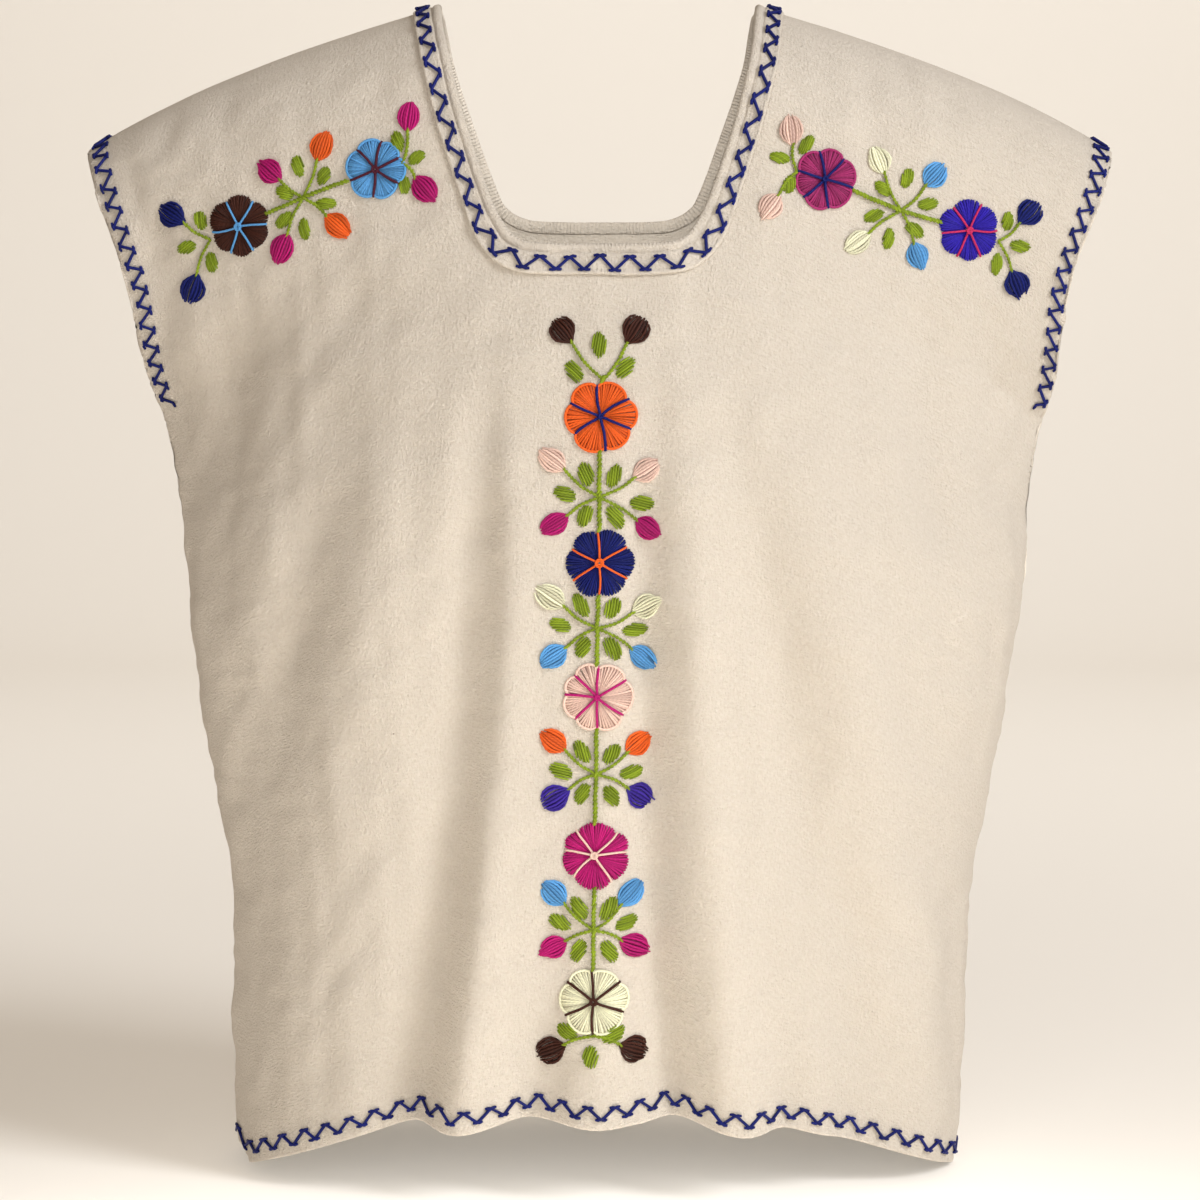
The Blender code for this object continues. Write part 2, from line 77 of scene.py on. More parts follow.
SHOULDER_LINE = (
    (0, 0), (88, 0), (108, -6), (140, -16), (180, -30), (220, -46), (256, -63), (293, -82),
)
HALF_WIDTHS = (  # height, wearer's right, wearer's left
    (0, 293, 295), (-82, 292, 294), (-105, 285, 287), (-125, 278, 279), (-145, 271, 271),
    (-170, 265, 266), (-196, 261, 264), (-215, 257, 262), (-236, 250, 257), (-283, 242, 249),
    (-318, 238, 248), (-364, 234, 241), (-428, 225, 231), (-487, 215, 219), (-520, 211, 215),
    (-560, 212, 214), (-600, 212, 212), (-640, 210, 209), (-670, 207, 206),
)
DEPTHS = (  # drop, front, back
    (0, 0, 0), (45, 0, 0), (90, 2, 2), (150, 18, 13), (210, 32, 20), (270, 39, 21), (340, 38, 18),
    (450, 34, 17), (560, 38, 22), (700, 46, 32),
)
NECK = {
    FRONT: ((91, 0), (89.5, -12), (86, -34), (77, -70), (63.5, -110), (55, -127), (47, -135.5),
            (34, -138.5), (0, -139)),
    BACK: ((91, 0), (89.5, -12), (86, -34), (73, -74), (61, -106), (55, -114.5), (46, -119.5),
           (34, -121.5), (0, -122)),
}
print("cuff to cuff %.3f m, neck to hem corners %.3f m" % (2 * SLEEVE_HALF, DROP))

# %% [markdown]
# ### Folds
# Each row is one fold: its path at the top, middle and bottom as x and z, its width at the top and
# bottom, and its height at the top, middle and bottom, where a minus makes a trough. A cloth
# simulation could find such folds, but as rows of a table each lies where this blouse has it.

# %% Table of folds and creases
FOLDS = {
    FRONT: (
        (-190, -140, -211, -234, -228, -318, 14, 18, 0, -7, 0),
        (-140, -205, -169, -350, -214, -500, 14, 24, 0, -9, -2),
        (-106, -220, -133, -390, -168, -666, 22, 34, 0, 7, 8),
        (-66, -165, -70, -360, -106, -630, 13, 20, 0, -7, -12),
        (-44, -163, -48, -370, -78, -630, 13, 20, 0, 5, 12),
        (-20, -470, -27, -550, -38, -622, 11, 16, 0, -3, -10),
        (0, -430, 0, -530, 0, -625, 12, 19, 0, 2, 8),
        (33, -165, 25, -380, 45, -622, 13, 17, 0, -7, -12),
        (46, -170, 56, -370, 75, -630, 13, 21, 0, 6, 11),
        (104, -540, 106, -590, 107, -632, 11, 14, 0, -3, -8),
        (66, -180, 101, -370, 140, -600, 14, 24, 0, -8, -6),
        (104, -190, 142, -376, 186, -600, 18, 26, 0, 7, 3),
        (176, -140, 188, -260, 208, -360, 13, 16, 0, -8, 0),
    ),
    BACK: (
        (-96, -210, -108, -400, -120, -650, 24, 32, 0, 6, 11),
        (-50, -190, -58, -400, -66, -650, 18, 28, 0, -5, -12),
        (-6, -240, -4, -430, -2, -645, 22, 28, 0, 4, 9),
        (54, -190, 56, -400, 62, -650, 18, 28, 0, -5, -12),
        (98, -210, 108, -400, 122, -650, 24, 32, 0, 6, 11),
        (-190, -330, -206, -430, -196, -540, 18, 22, 0, 6, 0),
    ),
}
CREASES = {
    FRONT: (
        (-238, -52, -244, -80, -250, -118, 6, 9, 0, -1.8, 0),
        (-206, -38, -208, -70, -204, -112, 7, 10, 0, -1.6, 0),
        (-262, -80, -262, -110, -252, -150, 6, 9, 0, -1.8, 0),
        (-176, -150, -182, -180, -196, -220, 8, 10, 0, -1.6, 0),
        (-236, -150, -226, -200, -222, -260, 9, 12, 0, 1.8, 0),
        (-206, -270, -214, -320, -212, -380, 8, 12, 0, -2.2, 0),
        (-188, -500, -196, -560, -190, -640, 10, 16, 0, -2.5, 0),
        (-140, -430, -150, -520, -160, -640, 12, 18, 0, -2.0, -2),
        (-66, -176, -80, -260, -88, -380, 8, 14, 0, 2.0, 0),
        (150, -26, 152, -52, 146, -86, 6, 9, 0, -1.4, 0),
        (226, -50, 230, -76, 232, -112, 6, 9, 0, -1.8, 0),
        (192, -34, 196, -64, 190, -100, 7, 9, 0, -1.3, 0),
        (262, -82, 256, -120, 244, -160, 7, 9, 0, -1.6, 0),
        (238, -196, 226, -222, 208, -262, 6, 10, 0, -2.6, 0),
        (250, -236, 232, -262, 210, -290, 5, 9, 0, -2.4, 0),
        (216, -330, 224, -362, 226, -400, 6, 9, 0, -2.4, 0),
        (206, -390, 214, -424, 214, -470, 7, 10, 0, -2.2, 0),
        (196, -520, 200, -570, 190, -640, 9, 14, 0, -2.0, 0),
        (132, -450, 146, -530, 150, -630, 10, 15, 0, -3.5, -3),
        (168, -450, 181, -530, 187, -620, 10, 15, 0, 2.5, 3),
        (-70, -165, -76, -360, -102, -600, 9, 14, 0, -2.5, -3),
        (-46, -165, -51, -370, -79, -620, 8, 13, 0, 2.0, 3),
        (31, -165, 24, -380, 43, -610, 8, 12, 0, -2.2, -3),
        (48, -170, 57, -370, 76, -620, 8, 13, 0, 2.0, 3),
        (-234, -88, -246, -150, -240, -206, 14, 18, 0, -3.5, 0),
    ),
    BACK: (
        (-238, -52, -244, -80, -250, -118, 6, 9, 0, -1.8, 0),
        (-200, -38, -204, -70, -200, -112, 7, 10, 0, -1.6, 0),
        (196, -38, 200, -70, 196, -112, 7, 10, 0, -1.6, 0),
        (236, -52, 240, -80, 244, -118, 6, 9, 0, -1.8, 0),
        (-228, -200, -206, -240, -180, -300, 9, 14, 0, -3, 0),
        (228, -200, 206, -240, 180, -300, 9, 14, 0, -3, 0),
        (-150, -120, -158, -200, -160, -300, 12, 18, 0, -2.5, 0),
        (150, -120, 158, -200, 160, -300, 12, 18, 0, -2.5, 0),
        (-186, -470, -192, -540, -186, -630, 10, 16, 0, -3, 0),
        (186, -450, 194, -530, 186, -630, 10, 16, 0, -3, 0),
        (24, -300, 28, -420, 32, -600, 12, 18, 0, 2, 3),
    ),
}
print("folds", {side: len(FOLDS[side]) + len(CREASES[side]) for side in FOLDS})


# %% Smooth curves and the panel's oval sections
def smooth_curve(rows, column):
    """Return a function through the table's rows that has no corners."""
    knots = np.array([row[0] for row in rows], float) / 1000
    heights = np.array([row[column] for row in rows], float) / 1000
    if knots[0] > knots[-1]:
        knots, heights = knots[::-1], heights[::-1]
    slopes = np.gradient(heights, knots)

    def value(at):
        at = np.clip(at, knots[0], knots[-1])
        i = np.clip(np.searchsorted(knots, at) - 1, 0, len(knots) - 2)
        step = knots[i + 1] - knots[i]
        t = (at - knots[i]) / step
        return (
            (1 + 2 * t) * (1 - t) ** 2 * heights[i]
            + t * (1 - t) ** 2 * step * slopes[i]
            + t * t * (3 - 2 * t) * heights[i + 1]
            + t * t * (t - 1) * step * slopes[i + 1]
        )

    return value


def ease(low, high, at):
    """Rise smoothly from 0 at low to 1 at high."""
    t = np.clip((at - low) / (high - low), 0, 1)
    return t * t * (3 - 2 * t)


class Section:
    """A cross section |s|^p + |c|^r = 1, followed at an even pace along the cloth."""

    aspects = np.linspace(0, 0.7, 15)
    angles = np.linspace(0, math.pi / 2, 401)
    evenly = np.linspace(0, 1, 401)

    def __init__(self, p, r):
        self.p, self.r = p, r
        across = np.sin(self.angles)
        self.turns = []
        for aspect in self.aspects:
            steps = np.hypot(np.diff(across), aspect * np.diff(self.depth(across)))
            pace = np.concatenate([[0], np.cumsum(steps)]) / steps.sum()
            self.turns.append(np.interp(self.evenly, pace, self.angles))
        self.turns = np.array(self.turns)

    def depth(self, across):
        return np.maximum(1 - np.abs(across) ** self.p, 0) ** (1 / self.r)

    def at(self, q, aspect):
        """Share of the half width and of the depth at q of the way round to the side."""
        row = np.clip(aspect / self.aspects[1], 0, len(self.aspects) - 1.001)
        column = np.clip(np.abs(q) * 400, 0, 399.999)
        i, j = row.astype(int), column.astype(int)
        a, b = row - i, column - j
        near = self.turns[i, j] * (1 - b) + self.turns[i, j + 1] * b
        far = self.turns[i + 1, j] * (1 - b) + self.turns[i + 1, j + 1] * b
        across = np.sin(near * (1 - a) + far * a)
        return np.sign(q) * across, self.depth(across)


SHARP = Section(2.2, 1.0)
ROUND = Section(2.2, 1.95)
shoulder_height = smooth_curve(SHOULDER_LINE, 1)
half_right, half_left = smooth_curve(HALF_WIDTHS, 1), smooth_curve(HALF_WIDTHS, 2)
depth_extra = {FRONT: smooth_curve(DEPTHS, 1), BACK: smooth_curve(DEPTHS, 2)}
TURN_V = 1 / (1 + (DROP - SHOULDER_ROUND) / (SHOULDER_ROUND * math.pi / 2))
HANG_PACE = SHOULDER_ROUND * math.pi / 2 / TURN_V
UNDERARM_SHARE = UNDERARM_DROP / (DROP + shoulder_height(np.float64(SLEEVE_HALF)))
UNDERARM_V = TURN_V + (UNDERARM_SHARE * DROP - SHOULDER_ROUND) / HANG_PACE
print("shoulder turned down at v %.3f, underarm at v %.3f" % (TURN_V, UNDERARM_V))


# %% The hanging cloth
def drop_share(v):
    turning = SHOULDER_ROUND * (1 - np.cos(np.minimum(v / TURN_V, 1) * math.pi / 2))
    return (turning + np.maximum(v - TURN_V, 0) * HANG_PACE) / DROP


def v_at_share(share):
    drop = np.clip(share, 0, 1) * DROP
    turning = np.arccos(np.clip(1 - drop / SHOULDER_ROUND, 0, 1)) / (math.pi / 2) * TURN_V
    return np.where(drop < SHOULDER_ROUND, turning, TURN_V + (drop - SHOULDER_ROUND) / HANG_PACE)


def hem_height(across, side):
    share = np.where(across < 0, np.minimum(-across / CORNER_SHARE, 1), across)
    lift = CORNER_LIFT * ease(CORNER_SHARE, 1, -across) + RIGHT_LIFT * ease(0.15, 0.7, -across)
    return -DROP + HEM_RISE[side] * (1 - share**HEM_CURVE) + lift


def hanging(q, v, side):
    """The panel without its folds."""
    turn = np.sin(np.minimum(v / TURN_V, 1) * math.pi / 2)
    depth = SHOULDER_DEPTH[side] * turn + depth_extra[side](drop_share(v) * DROP)
    sharp = 1 - ease(UNDERARM_V - 0.02, UNDERARM_V + 0.22, v)
    s1, c1 = SHARP.at(q, depth / TYPICAL_HALF)
    s2, c2 = ROUND.at(q, depth / TYPICAL_HALF)
    across, bulge = s1 * sharp + s2 * (1 - sharp), c1 * sharp + c2 * (1 - sharp)
    ridge = shoulder_height(np.abs(q) * SLEEVE_HALF)
    z = ridge + (hem_height(across, side) - ridge) * drop_share(v)
    x = across * np.where(q < 0, half_right(z), half_left(z))
    opening = np.sin(np.clip(v / UNDERARM_V, 0, 1) * math.pi)
    gap = np.minimum(CUFF_GAP[side] * opening, depth)
    if side == BACK:
        x = x + CUFF_FLARE * opening * ease(0.80, 1.0, q)
    y = gap + (depth - gap) * bulge + SEAM_GAP / 2 + CRISP_SEAM * sharp * ease(0, 0.02, v)
    return np.stack([x, side * y, z], -1)


def fold_height(x, z, rows):
    """Height of all these folds at these places, each a soft ridge along its path."""
    x1, z1, x2, z2, x3, z3, w1, w3, h1, h2, h3 = np.array(rows, float).T[..., None]
    x_mm, z_mm = x.ravel() * 1000, z.ravel() * 1000
    t, t2 = (z_mm - z1) / (z3 - z1), (z2 - z1) / (z3 - z1)
    bend = (x2 - x1 - (x3 - x1) * t2) / (t2 * (t2 - 1))
    inside = np.clip(t, 0, 1.1)
    middle = x1 + (x3 - x1) * inside + bend * inside * (inside - 1)
    upper = h1 + (h2 - h1) * ease(0, 1, t / t2)
    rise = np.where(t < t2, upper, h2 + (h3 - h2) * ease(0, 1, (t - t2) / (1 - t2)))
    rise = rise * (t > 0) * ((t < 1) | (h3 != 0))
    total = rise * np.exp(-(((x_mm - middle) / (w1 + (w3 - w1) * inside)) ** 2))
    return total.sum(0).reshape(x.shape) / 1000


# %% [markdown]
# ### Unevenness
# Washed cotton is never quite flat. Waves of random direction, 12 to 70 mm long and a few tenths
# of a millimetre high, are summed from a fixed seed; the turned edges also pucker between stitches.

# %% Waves, puckers and seams
WAVE_HEIGHT = 0.00016  # of a wave 30 mm long
HEM_PUCKER, CUFF_PUCKER = 0.0071, 0.0055  # metres from one pucker to the next
PUCKER_HEIGHT, PUCKER_REACH = 0.00030, 0.010
SEAM_DIP, SEAM_REACH = 0.0007, 0.0022
FOLD_FADE, CREASE_FADE = 10, 16  # powers of q: the higher, the nearer the sides they run out
draw = np.random.default_rng(7)
WAVES = []
for length in np.geomspace(0.012, 0.070, 22):
    turn, phase = draw.uniform(0, 2 * math.pi, 2)
    rise = WAVE_HEIGHT * (length / 0.03) ** 0.8
    WAVES.append((math.cos(turn) / length, math.sin(turn) / length, phase, rise))


def unevenness(q, v, side):
    a, b = q * GRAIN_ACROSS, v * GRAIN_DOWN + (0.9 if side == BACK else 0)
    across, along, phase, height = np.array(WAVES).T[..., None]
    total = height * np.sin(2 * math.pi * (a.ravel() * across + b.ravel() * along) + phase)
    total = total.sum(0).reshape(q.shape)
    to_hem, to_cuff = (1 - v) * GRAIN_DOWN, (1 - np.abs(q)) * GRAIN_ACROSS
    hem = np.exp(-((to_hem / PUCKER_REACH) ** 2))
    cuffs = np.exp(-((to_cuff / PUCKER_REACH) ** 2)) * (v < UNDERARM_V)
    pucker = np.sin(a * 2 * math.pi / HEM_PUCKER + 2 * np.sin(a * 60)) * hem
    pucker = pucker + np.sin(b * 2 * math.pi / CUFF_PUCKER + 2 * np.sin(b * 70)) * cuffs
    seam = np.exp(-((to_cuff / SEAM_REACH) ** 2)) * ease(UNDERARM_V, UNDERARM_V + 0.02, v)
    seam = seam + np.exp(-((v * GRAIN_DOWN / SEAM_REACH) ** 2)) * (np.abs(q) > 0.30)
    return total + PUCKER_HEIGHT * pucker - SEAM_DIP * seam


print("waves", len(WAVES))


def surface(q, v, side):
    """Middle of the cloth, with its folds."""
    base = hanging(q, v, side)
    folds = fold_height(base[..., 0], base[..., 2], FOLDS[side]) * (1 - np.abs(q) ** FOLD_FADE)
    creases = fold_height(base[..., 0], base[..., 2], CREASES[side])
    height = folds + creases * (1 - np.abs(q) ** CREASE_FADE) + unevenness(q, v, side)
    step = 1e-4
    ahead = hanging(np.clip(q + step, -1, 1), v, side) - hanging(np.clip(q - step, -1, 1), v, side)
    out = np.stack([ahead[..., 1], -ahead[..., 0], np.zeros_like(q)], -1) * -side
    out /= np.linalg.norm(out, axis=-1, keepdims=True)
    sag = folds * HEM_SAG * ease(0.45, 1, v)
    return base + out * height[..., None] - np.stack([0 * sag, 0 * sag, sag], -1)


def slopes(q, v, side):
    step = 2e-4
    q_low, q_high = np.clip(q - step, -1, 1), np.clip(q + step, -1, 1)
    v_low, v_high = np.clip(v - step, 0, 1), np.clip(v + step, 0, 1)
    along_q = (surface(q_high, v, side) - surface(q_low, v, side)) / (q_high - q_low)[..., None]
    along_v = (surface(q, v_high, side) - surface(q, v_low, side)) / (v_high - v_low)[..., None]
    return along_q, along_v


def normals(q, v, side):
    along_q, along_v = slopes(q, v, side)
    across = np.cross(along_q, along_v) * side
    return across / np.linalg.norm(across, axis=-1, keepdims=True)


def place_of(x, z, side):
    """The q and v of the cloth's points at these x and z, in metres."""
    x, z = np.asarray(x, float), np.asarray(z, float)
    q = np.clip(x / SLEEVE_HALF, -0.97, 0.97)
    v = np.clip(v_at_share(-z / DROP), 0.01, 0.99)
    for _ in range(30):
        point = surface(q, v, side)
        along_q, along_v = slopes(q, v, side)
        miss_x, miss_z = x - point[..., 0], z - point[..., 2]
        if max(np.abs(miss_x).max(), np.abs(miss_z).max()) < 2e-6:
            break
        det = along_q[..., 0] * along_v[..., 2] - along_v[..., 0] * along_q[..., 2]
        dq = (miss_x * along_v[..., 2] - miss_z * along_v[..., 0]) / det
        dv = (miss_z * along_q[..., 0] - miss_x * along_q[..., 2]) / det
        q = np.clip(q + np.clip(dq, -0.08, 0.08), -1, 1)
        v = np.clip(v + np.clip(dv, -0.04, 0.04), 0.002, 1)
    return q, v


# %% [markdown]
# ## The neck's edge
# The neck is a square with rounded corners, narrower at the bottom. Its edge is laid out as a
# smooth line on the cloth, and everything that runs beside it is stepped out from that line, so
# band and stitches keep their distance round the corners.

# %% Lines beside the neck
NECK_MIDDLE = np.array([0, 0, -0.05])


def curve_through(points, spacing):
    points = np.array(points, float)
    padded = np.vstack([2 * points[0] - points[1], points, 2 * points[-1] - points[-2]])
    t = np.linspace(0, 1, 20, endpoint=False)[:, None]
    dense = []
    for a, b, c, d in zip(padded, padded[1:], padded[2:], padded[3:]):
        bend = 2 * a - 5 * b + 4 * c - d + t * (3 * (b - c) + d - a)
        dense.append(b + 0.5 * t * (c - a + t * bend))
    dense = np.vstack(dense + [points[-1:]])
    run = np.concatenate([[0], np.cumsum(np.linalg.norm(np.diff(dense, axis=0), axis=1))])
    even = np.linspace(0, run[-1], int(round(run[-1] / spacing)) + 1)
    return np.stack([np.interp(even, run, dense[:, 0]), np.interp(even, run, dense[:, 1])], -1)


def neck_edge(side, spacing):
    """Stations of the neck edge as q and v, from the wearer's right shoulder to the left."""
    half = [(-x / 1000, z / 1000) for x, z in NECK[side]]
    stations = curve_through(half + [(-x, z) for x, z in half[-2::-1]], spacing)
    inward = ease(0, 0.040, -stations[:, 1]) * ease(-0.030, 0.030, -stations[:, 0])
    stations[:, 0] += NECK_SHIFT[side] * inward
    q, v = place_of(stations[:, 0], stations[:, 1], side)
    flat = stations[:, 1] > -0.004
    q[flat], v[flat] = stations[flat, 0] / SLEEVE_HALF, v_at_share(-stations[flat, 1] / DROP)
    v[0] = v[-1] = 0
    return np.stack([q, v], -1)


def stepped_out(stations, distance, side, steps=5):
    """The same stations moved over the cloth, away from the neck."""
    place = stations.copy()
    for _ in range(steps):
        q, v = place.T
        along_q, along_v = slopes(q, v, side)
        here = surface(q, v, side)
        away = np.cross(normals(q, v, side), np.gradient(here, axis=0))
        away /= np.linalg.norm(away, axis=-1, keepdims=True)
        away *= np.sign(((here - NECK_MIDDLE) * away).sum(-1))[:, None]
        e, f, g = (along_q**2).sum(-1), (along_q * along_v).sum(-1), (along_v**2).sum(-1)
        a, b = (along_q * away).sum(-1), (along_v * away).sum(-1)
        det = e * g - f * f
        place[:, 0] += (g * a - f * b) / det * distance / steps
        place[:, 1] += (e * b - f * a) / det * distance / steps
        place[0, 1] = place[-1, 1] = 0
    return place


def band_width(stations, side):
    """Width of the neck band at each station, widest along the bottom."""
    height = surface(stations[:, 0], stations[:, 1], side)[:, 2]
    bottom = height.min()
    return BAND_WIDTH + BAND_WIDEN * (1 - ease(bottom, bottom + 0.035, height))


STATION = 0.0025
EDGE = {side: neck_edge(side, STATION) for side in (FRONT, BACK)}
print("neck stations", {side: len(EDGE[side]) for side in EDGE})


# %% [markdown]
# ## The panels
# Each panel is one layer of cotton. A net of points 4 mm apart is laid over its outline in the
# cloth's own plane and lifted onto the form, so the weave stays straight with the grain. Extra
# rows lie beside the seams and edges, where the cloth dips into a seam or rolls over its fold.

# %% Build the two panels
CELL = 0.004
GRAIN = np.array([GRAIN_ACROSS, GRAIN_DOWN])
ROLL, RAW_ROLL = 0.0009, 0.00004  # how far turned and raw edges round out
EDGE_ROWS = (0.0014, 0.003)  # extra rows, this far inside seams and edges
AT_EDGE = 0.9999


def spread(a, b, spacing):
    a, b = np.array(a, float), np.array(b, float)
    length = np.hypot(*((b - a) * GRAIN))
    return a + (b - a) * np.linspace(0, 1, max(int(round(length / spacing)), 1) + 1)[:, None]


def link(item):
    bpy.context.scene.collection.objects.link(item)
    return item


def mesh_object(name, points, faces, uvs=None):
    mesh = bpy.data.meshes.new(name)
    mesh.from_pydata([tuple(p) for p in points], [], faces)
    if uvs is not None:
        layer = mesh.uv_layers.new(name="cloth")
        loops = np.empty(len(mesh.loops), np.int32)
        mesh.loops.foreach_get("vertex_index", loops)
        layer.data.foreach_set("uv", np.asarray(uvs, np.float32)[loops].ravel())
    work = bmesh.new()
    work.from_mesh(mesh)
    bmesh.ops.remove_doubles(work, verts=work.verts, dist=1e-6)
    bmesh.ops.recalc_face_normals(work, faces=work.faces)
    for face in work.faces:
        face.smooth = True
    work.to_mesh(mesh)
    work.free()
    return link(bpy.data.objects.new(name, mesh))


def cloth_net(side):
    """Places over the whole panel and the triangles between them, and the outline."""
    edge = EDGE[side]
    start, end = edge[0], edge[-1]
    loop = np.vstack([
        start[None], spread(start, (-1, 0), CELL)[1:], spread((-1, 0), (-1, UNDERARM_V), CELL)[1:],
        spread((-1, UNDERARM_V), (-1, 1), CELL)[1:], spread((-1, 1), (1, 1), CELL * 0.8)[1:],
        spread((1, 1), (1, UNDERARM_V), CELL)[1:], spread((1, UNDERARM_V), (1, 0), CELL)[1:],
        spread((1, 0), end, CELL)[1:], edge[::-1][1:-1],
    ])
    fixed = loop * GRAIN
    lines = []
    for away in EDGE_ROWS:
        s, t = 1 - away / GRAIN_ACROSS, away / GRAIN_DOWN
        lines.append(spread((-s, t), (-s, 1 - t), CELL))
        lines.append(spread((s, t), (s, 1 - t), CELL))
        lines.append(spread((-s, 1 - t), (s, 1 - t), CELL * 0.8))
        lines.append(spread((-s, t), (start[0] - 0.004, t), CELL))
        lines.append(spread((end[0] + 0.004, t), (s, t), CELL))
    extra = np.vstack(lines) * GRAIN
    rows = int(GRAIN_DOWN / (CELL * 0.866)) + 1
    count = int(GRAIN_ACROSS / CELL) + 1
    i, j = np.meshgrid(np.arange(-count, count + 1), np.arange(1, rows))
    net = np.stack([(i + 0.5 * (j % 2)) * CELL, j * GRAIN_DOWN / rows], -1).reshape(-1, 2)
    near = np.vstack([fixed, extra])
    keep = np.ones(len(net), bool)
    for k in range(0, len(net), 2000):
        block = net[k : k + 2000]
        gaps = np.linalg.norm(block[:, None] - near[None], axis=-1).min(1)
        r1, r2 = fixed, np.roll(fixed, -1, axis=0)
        above = (r1[:, 1] > block[:, None, 1]) != (r2[:, 1] > block[:, None, 1])
        with np.errstate(divide="ignore", invalid="ignore"):
            share = (block[:, None, 1] - r1[:, 1]) / (r2[:, 1] - r1[:, 1])
            cut = r1[:, 0] + share * (r2[:, 0] - r1[:, 0])
        inside = (above & (block[:, None, 0] < cut)).sum(1) % 2 == 1
        keep[k : k + 2000] = inside & (gaps > 0.5 * CELL)
    points = np.vstack([fixed, extra, net[keep]])
    ring = list(range(len(fixed)))
    pairs = list(zip(ring, ring[1:] + ring[:1]))
    result = geometry.delaunay_2d_cdt([Vector(p) for p in points], pairs, [ring], 1, 1e-7)
    flat = np.array([tuple(p) for p in result[0]]) / GRAIN
    triangles = [tuple(face) for face in result[2] if len(face) == 3]
    return np.clip(flat, [-1, 0], [1, 1]), triangles


def rim_edges(triangles):
    directed = {(t[i], t[(i + 1) % 3]) for t in triangles for i in range(3)}
    return [(a, b) for a, b in directed if (b, a) not in directed]


def make_panel(name, side):
    places, triangles = cloth_net(side)
    q, v = places.T
    middle, out = surface(q, v, side), normals(q, v, side)
    count = len(middle)
    points = [middle + out * CLOTH / 2, middle - out * CLOTH / 2]
    faces = list(triangles) + [tuple(i + count for i in reversed(t)) for t in triangles]
    rim = rim_edges(triangles)
    marks = sorted({i for pair in rim for i in pair})
    where = {mark: k for k, mark in enumerate(marks)}
    rq, rv = q[marks], v[marks]
    hem, cuff = rv > AT_EDGE, (np.abs(rq) > AT_EDGE) & (rv < UNDERARM_V - 0.004)
    along_q, along_v = slopes(rq, rv, side)
    away = np.where(hem[:, None], along_v, along_q * np.sign(rq)[:, None])
    away -= out[marks] * (away * out[marks]).sum(-1, keepdims=True)
    away /= np.linalg.norm(away, axis=-1, keepdims=True)
    roll = np.where(hem | cuff, ROLL, RAW_ROLL)[:, None]
    for turn in (0.25, 0.5, 0.75):
        angle = turn * math.pi
        lift = out[marks] * math.cos(angle) * CLOTH / 2
        points.append(middle[marks] + away * roll * math.sin(angle) + lift)
    rows = len(marks)
    for a, b in rim:
        ring_a = [a] + [2 * count + k * rows + where[a] for k in range(3)] + [a + count]
        ring_b = [b] + [2 * count + k * rows + where[b] for k in range(3)] + [b + count]
        for k in range(4):
            faces.append((ring_b[k], ring_a[k], ring_a[k + 1], ring_b[k + 1]))
    uv = places * GRAIN
    uvs = np.vstack([uv, uv + [2.0, 0]] + [uv[marks]] * 3)
    panel = mesh_object(name, np.vstack(points), faces, uvs)
    print(name, "vertices", len(panel.data.vertices))
    return panel


front = make_panel("front_cloth", FRONT)
back = make_panel("back_cloth", BACK)

# %% [markdown]
# ## The neck bands
# A strip of the same cotton is folded round the raw neck edge. Its outer edge is turned under,
# which leaves a narrow proud ridge, and a row of stitches sinks a groove near the neck. Here one
# closed profile, given as distance from the edge and height above the cloth, follows the neck.

# %% Build the bands
BAND_PROFILE = (  # distance from the neck edge, height over the middle of the cloth (mm)
    (14.9, 0.8), (15.5, 1.2), (15.5, 2.1), (14.9, 2.7), (14.1, 2.75), (13.3, 2.3), (12.5, 2.0),
    (10.5, 1.95), (8.0, 1.95), (6.0, 2.0), (4.9, 2.0), (4.3, 1.6), (3.8, 1.1), (3.3, 1.65),
    (2.6, 2.3), (1.2, 2.45), (0.0, 2.35), (-1.0, 1.8), (-1.5, 0.8), (-1.5, -0.8), (-1.0, -1.7),
    (0.0, -2.1), (1.6, -2.25), (3.4, -2.2), (4.4, -1.95), (4.9, -1.5), (4.8, -0.95), (3.0, -0.95),
    (0.5, -0.95), (-0.5, 0.0), (0.5, 0.95), (7.0, 0.95), (13.0, 0.9),
)


def make_band(name, side):
    edge = EDGE[side]
    distances = sorted({max(d, 0.0) for d, _ in BAND_PROFILE})
    rows = {}
    share = band_width(edge, side) / BAND_PROFILE[1][0]
    for d in distances:
        q, v = stepped_out(edge, d * share, side).T
        rows[d] = (surface(q, v, side), normals(q, v, side))
    toward = rows[0.0][0] - rows[1.6][0]
    toward[0, 1] = toward[-1, 1] = 0
    toward /= np.linalg.norm(toward, axis=-1, keepdims=True)
    points, uvs = [], []
    run = np.concatenate([[0], np.cumsum(np.linalg.norm(np.diff(rows[0.0][0], axis=0), axis=1))])
    around = 0.0
    last = BAND_PROFILE[0]
    for d, h in BAND_PROFILE:
        around += math.dist((d, h), last) / 1000
        last = (d, h)
        base, out = rows[max(d, 0.0)]
        points.append(base + out * h / 1000 + toward * max(-d, 0) / 1000)
        uvs.append(np.stack([run, np.full_like(run, around)], -1))
    n, m = len(edge), len(BAND_PROFILE)
    faces = []
    for j in range(m):
        k = (j + 1) % m
        for i in range(n - 1):
            faces.append((j * n + i, j * n + i + 1, k * n + i + 1, k * n + i))
    for i in (0, n - 1):
        faces.append(tuple(j * n + i for j in range(m)))
    band = mesh_object(name, np.vstack(points), faces, np.vstack(uvs))
    print(name, "length %.3f m" % run[-1])
    return band, run[-1]


front_band, front_band_length = make_band("neck_band_front_cloth", FRONT)
back_band, back_band_length = make_band("neck_band_back_cloth", BACK)

# %% [markdown]
# ## Threads
# All the sewing is lengths of floss laid on the cloth. Each length is noted as a short line of
# places on the cloth with its height, thickness and tone; for the motifs' lower strands the tone
# is also a painted shade. Later one Geometry Nodes tree turns every line into a round thread.

# %% A store of threads
THREADS = {}
tone_draw = np.random.default_rng(11)


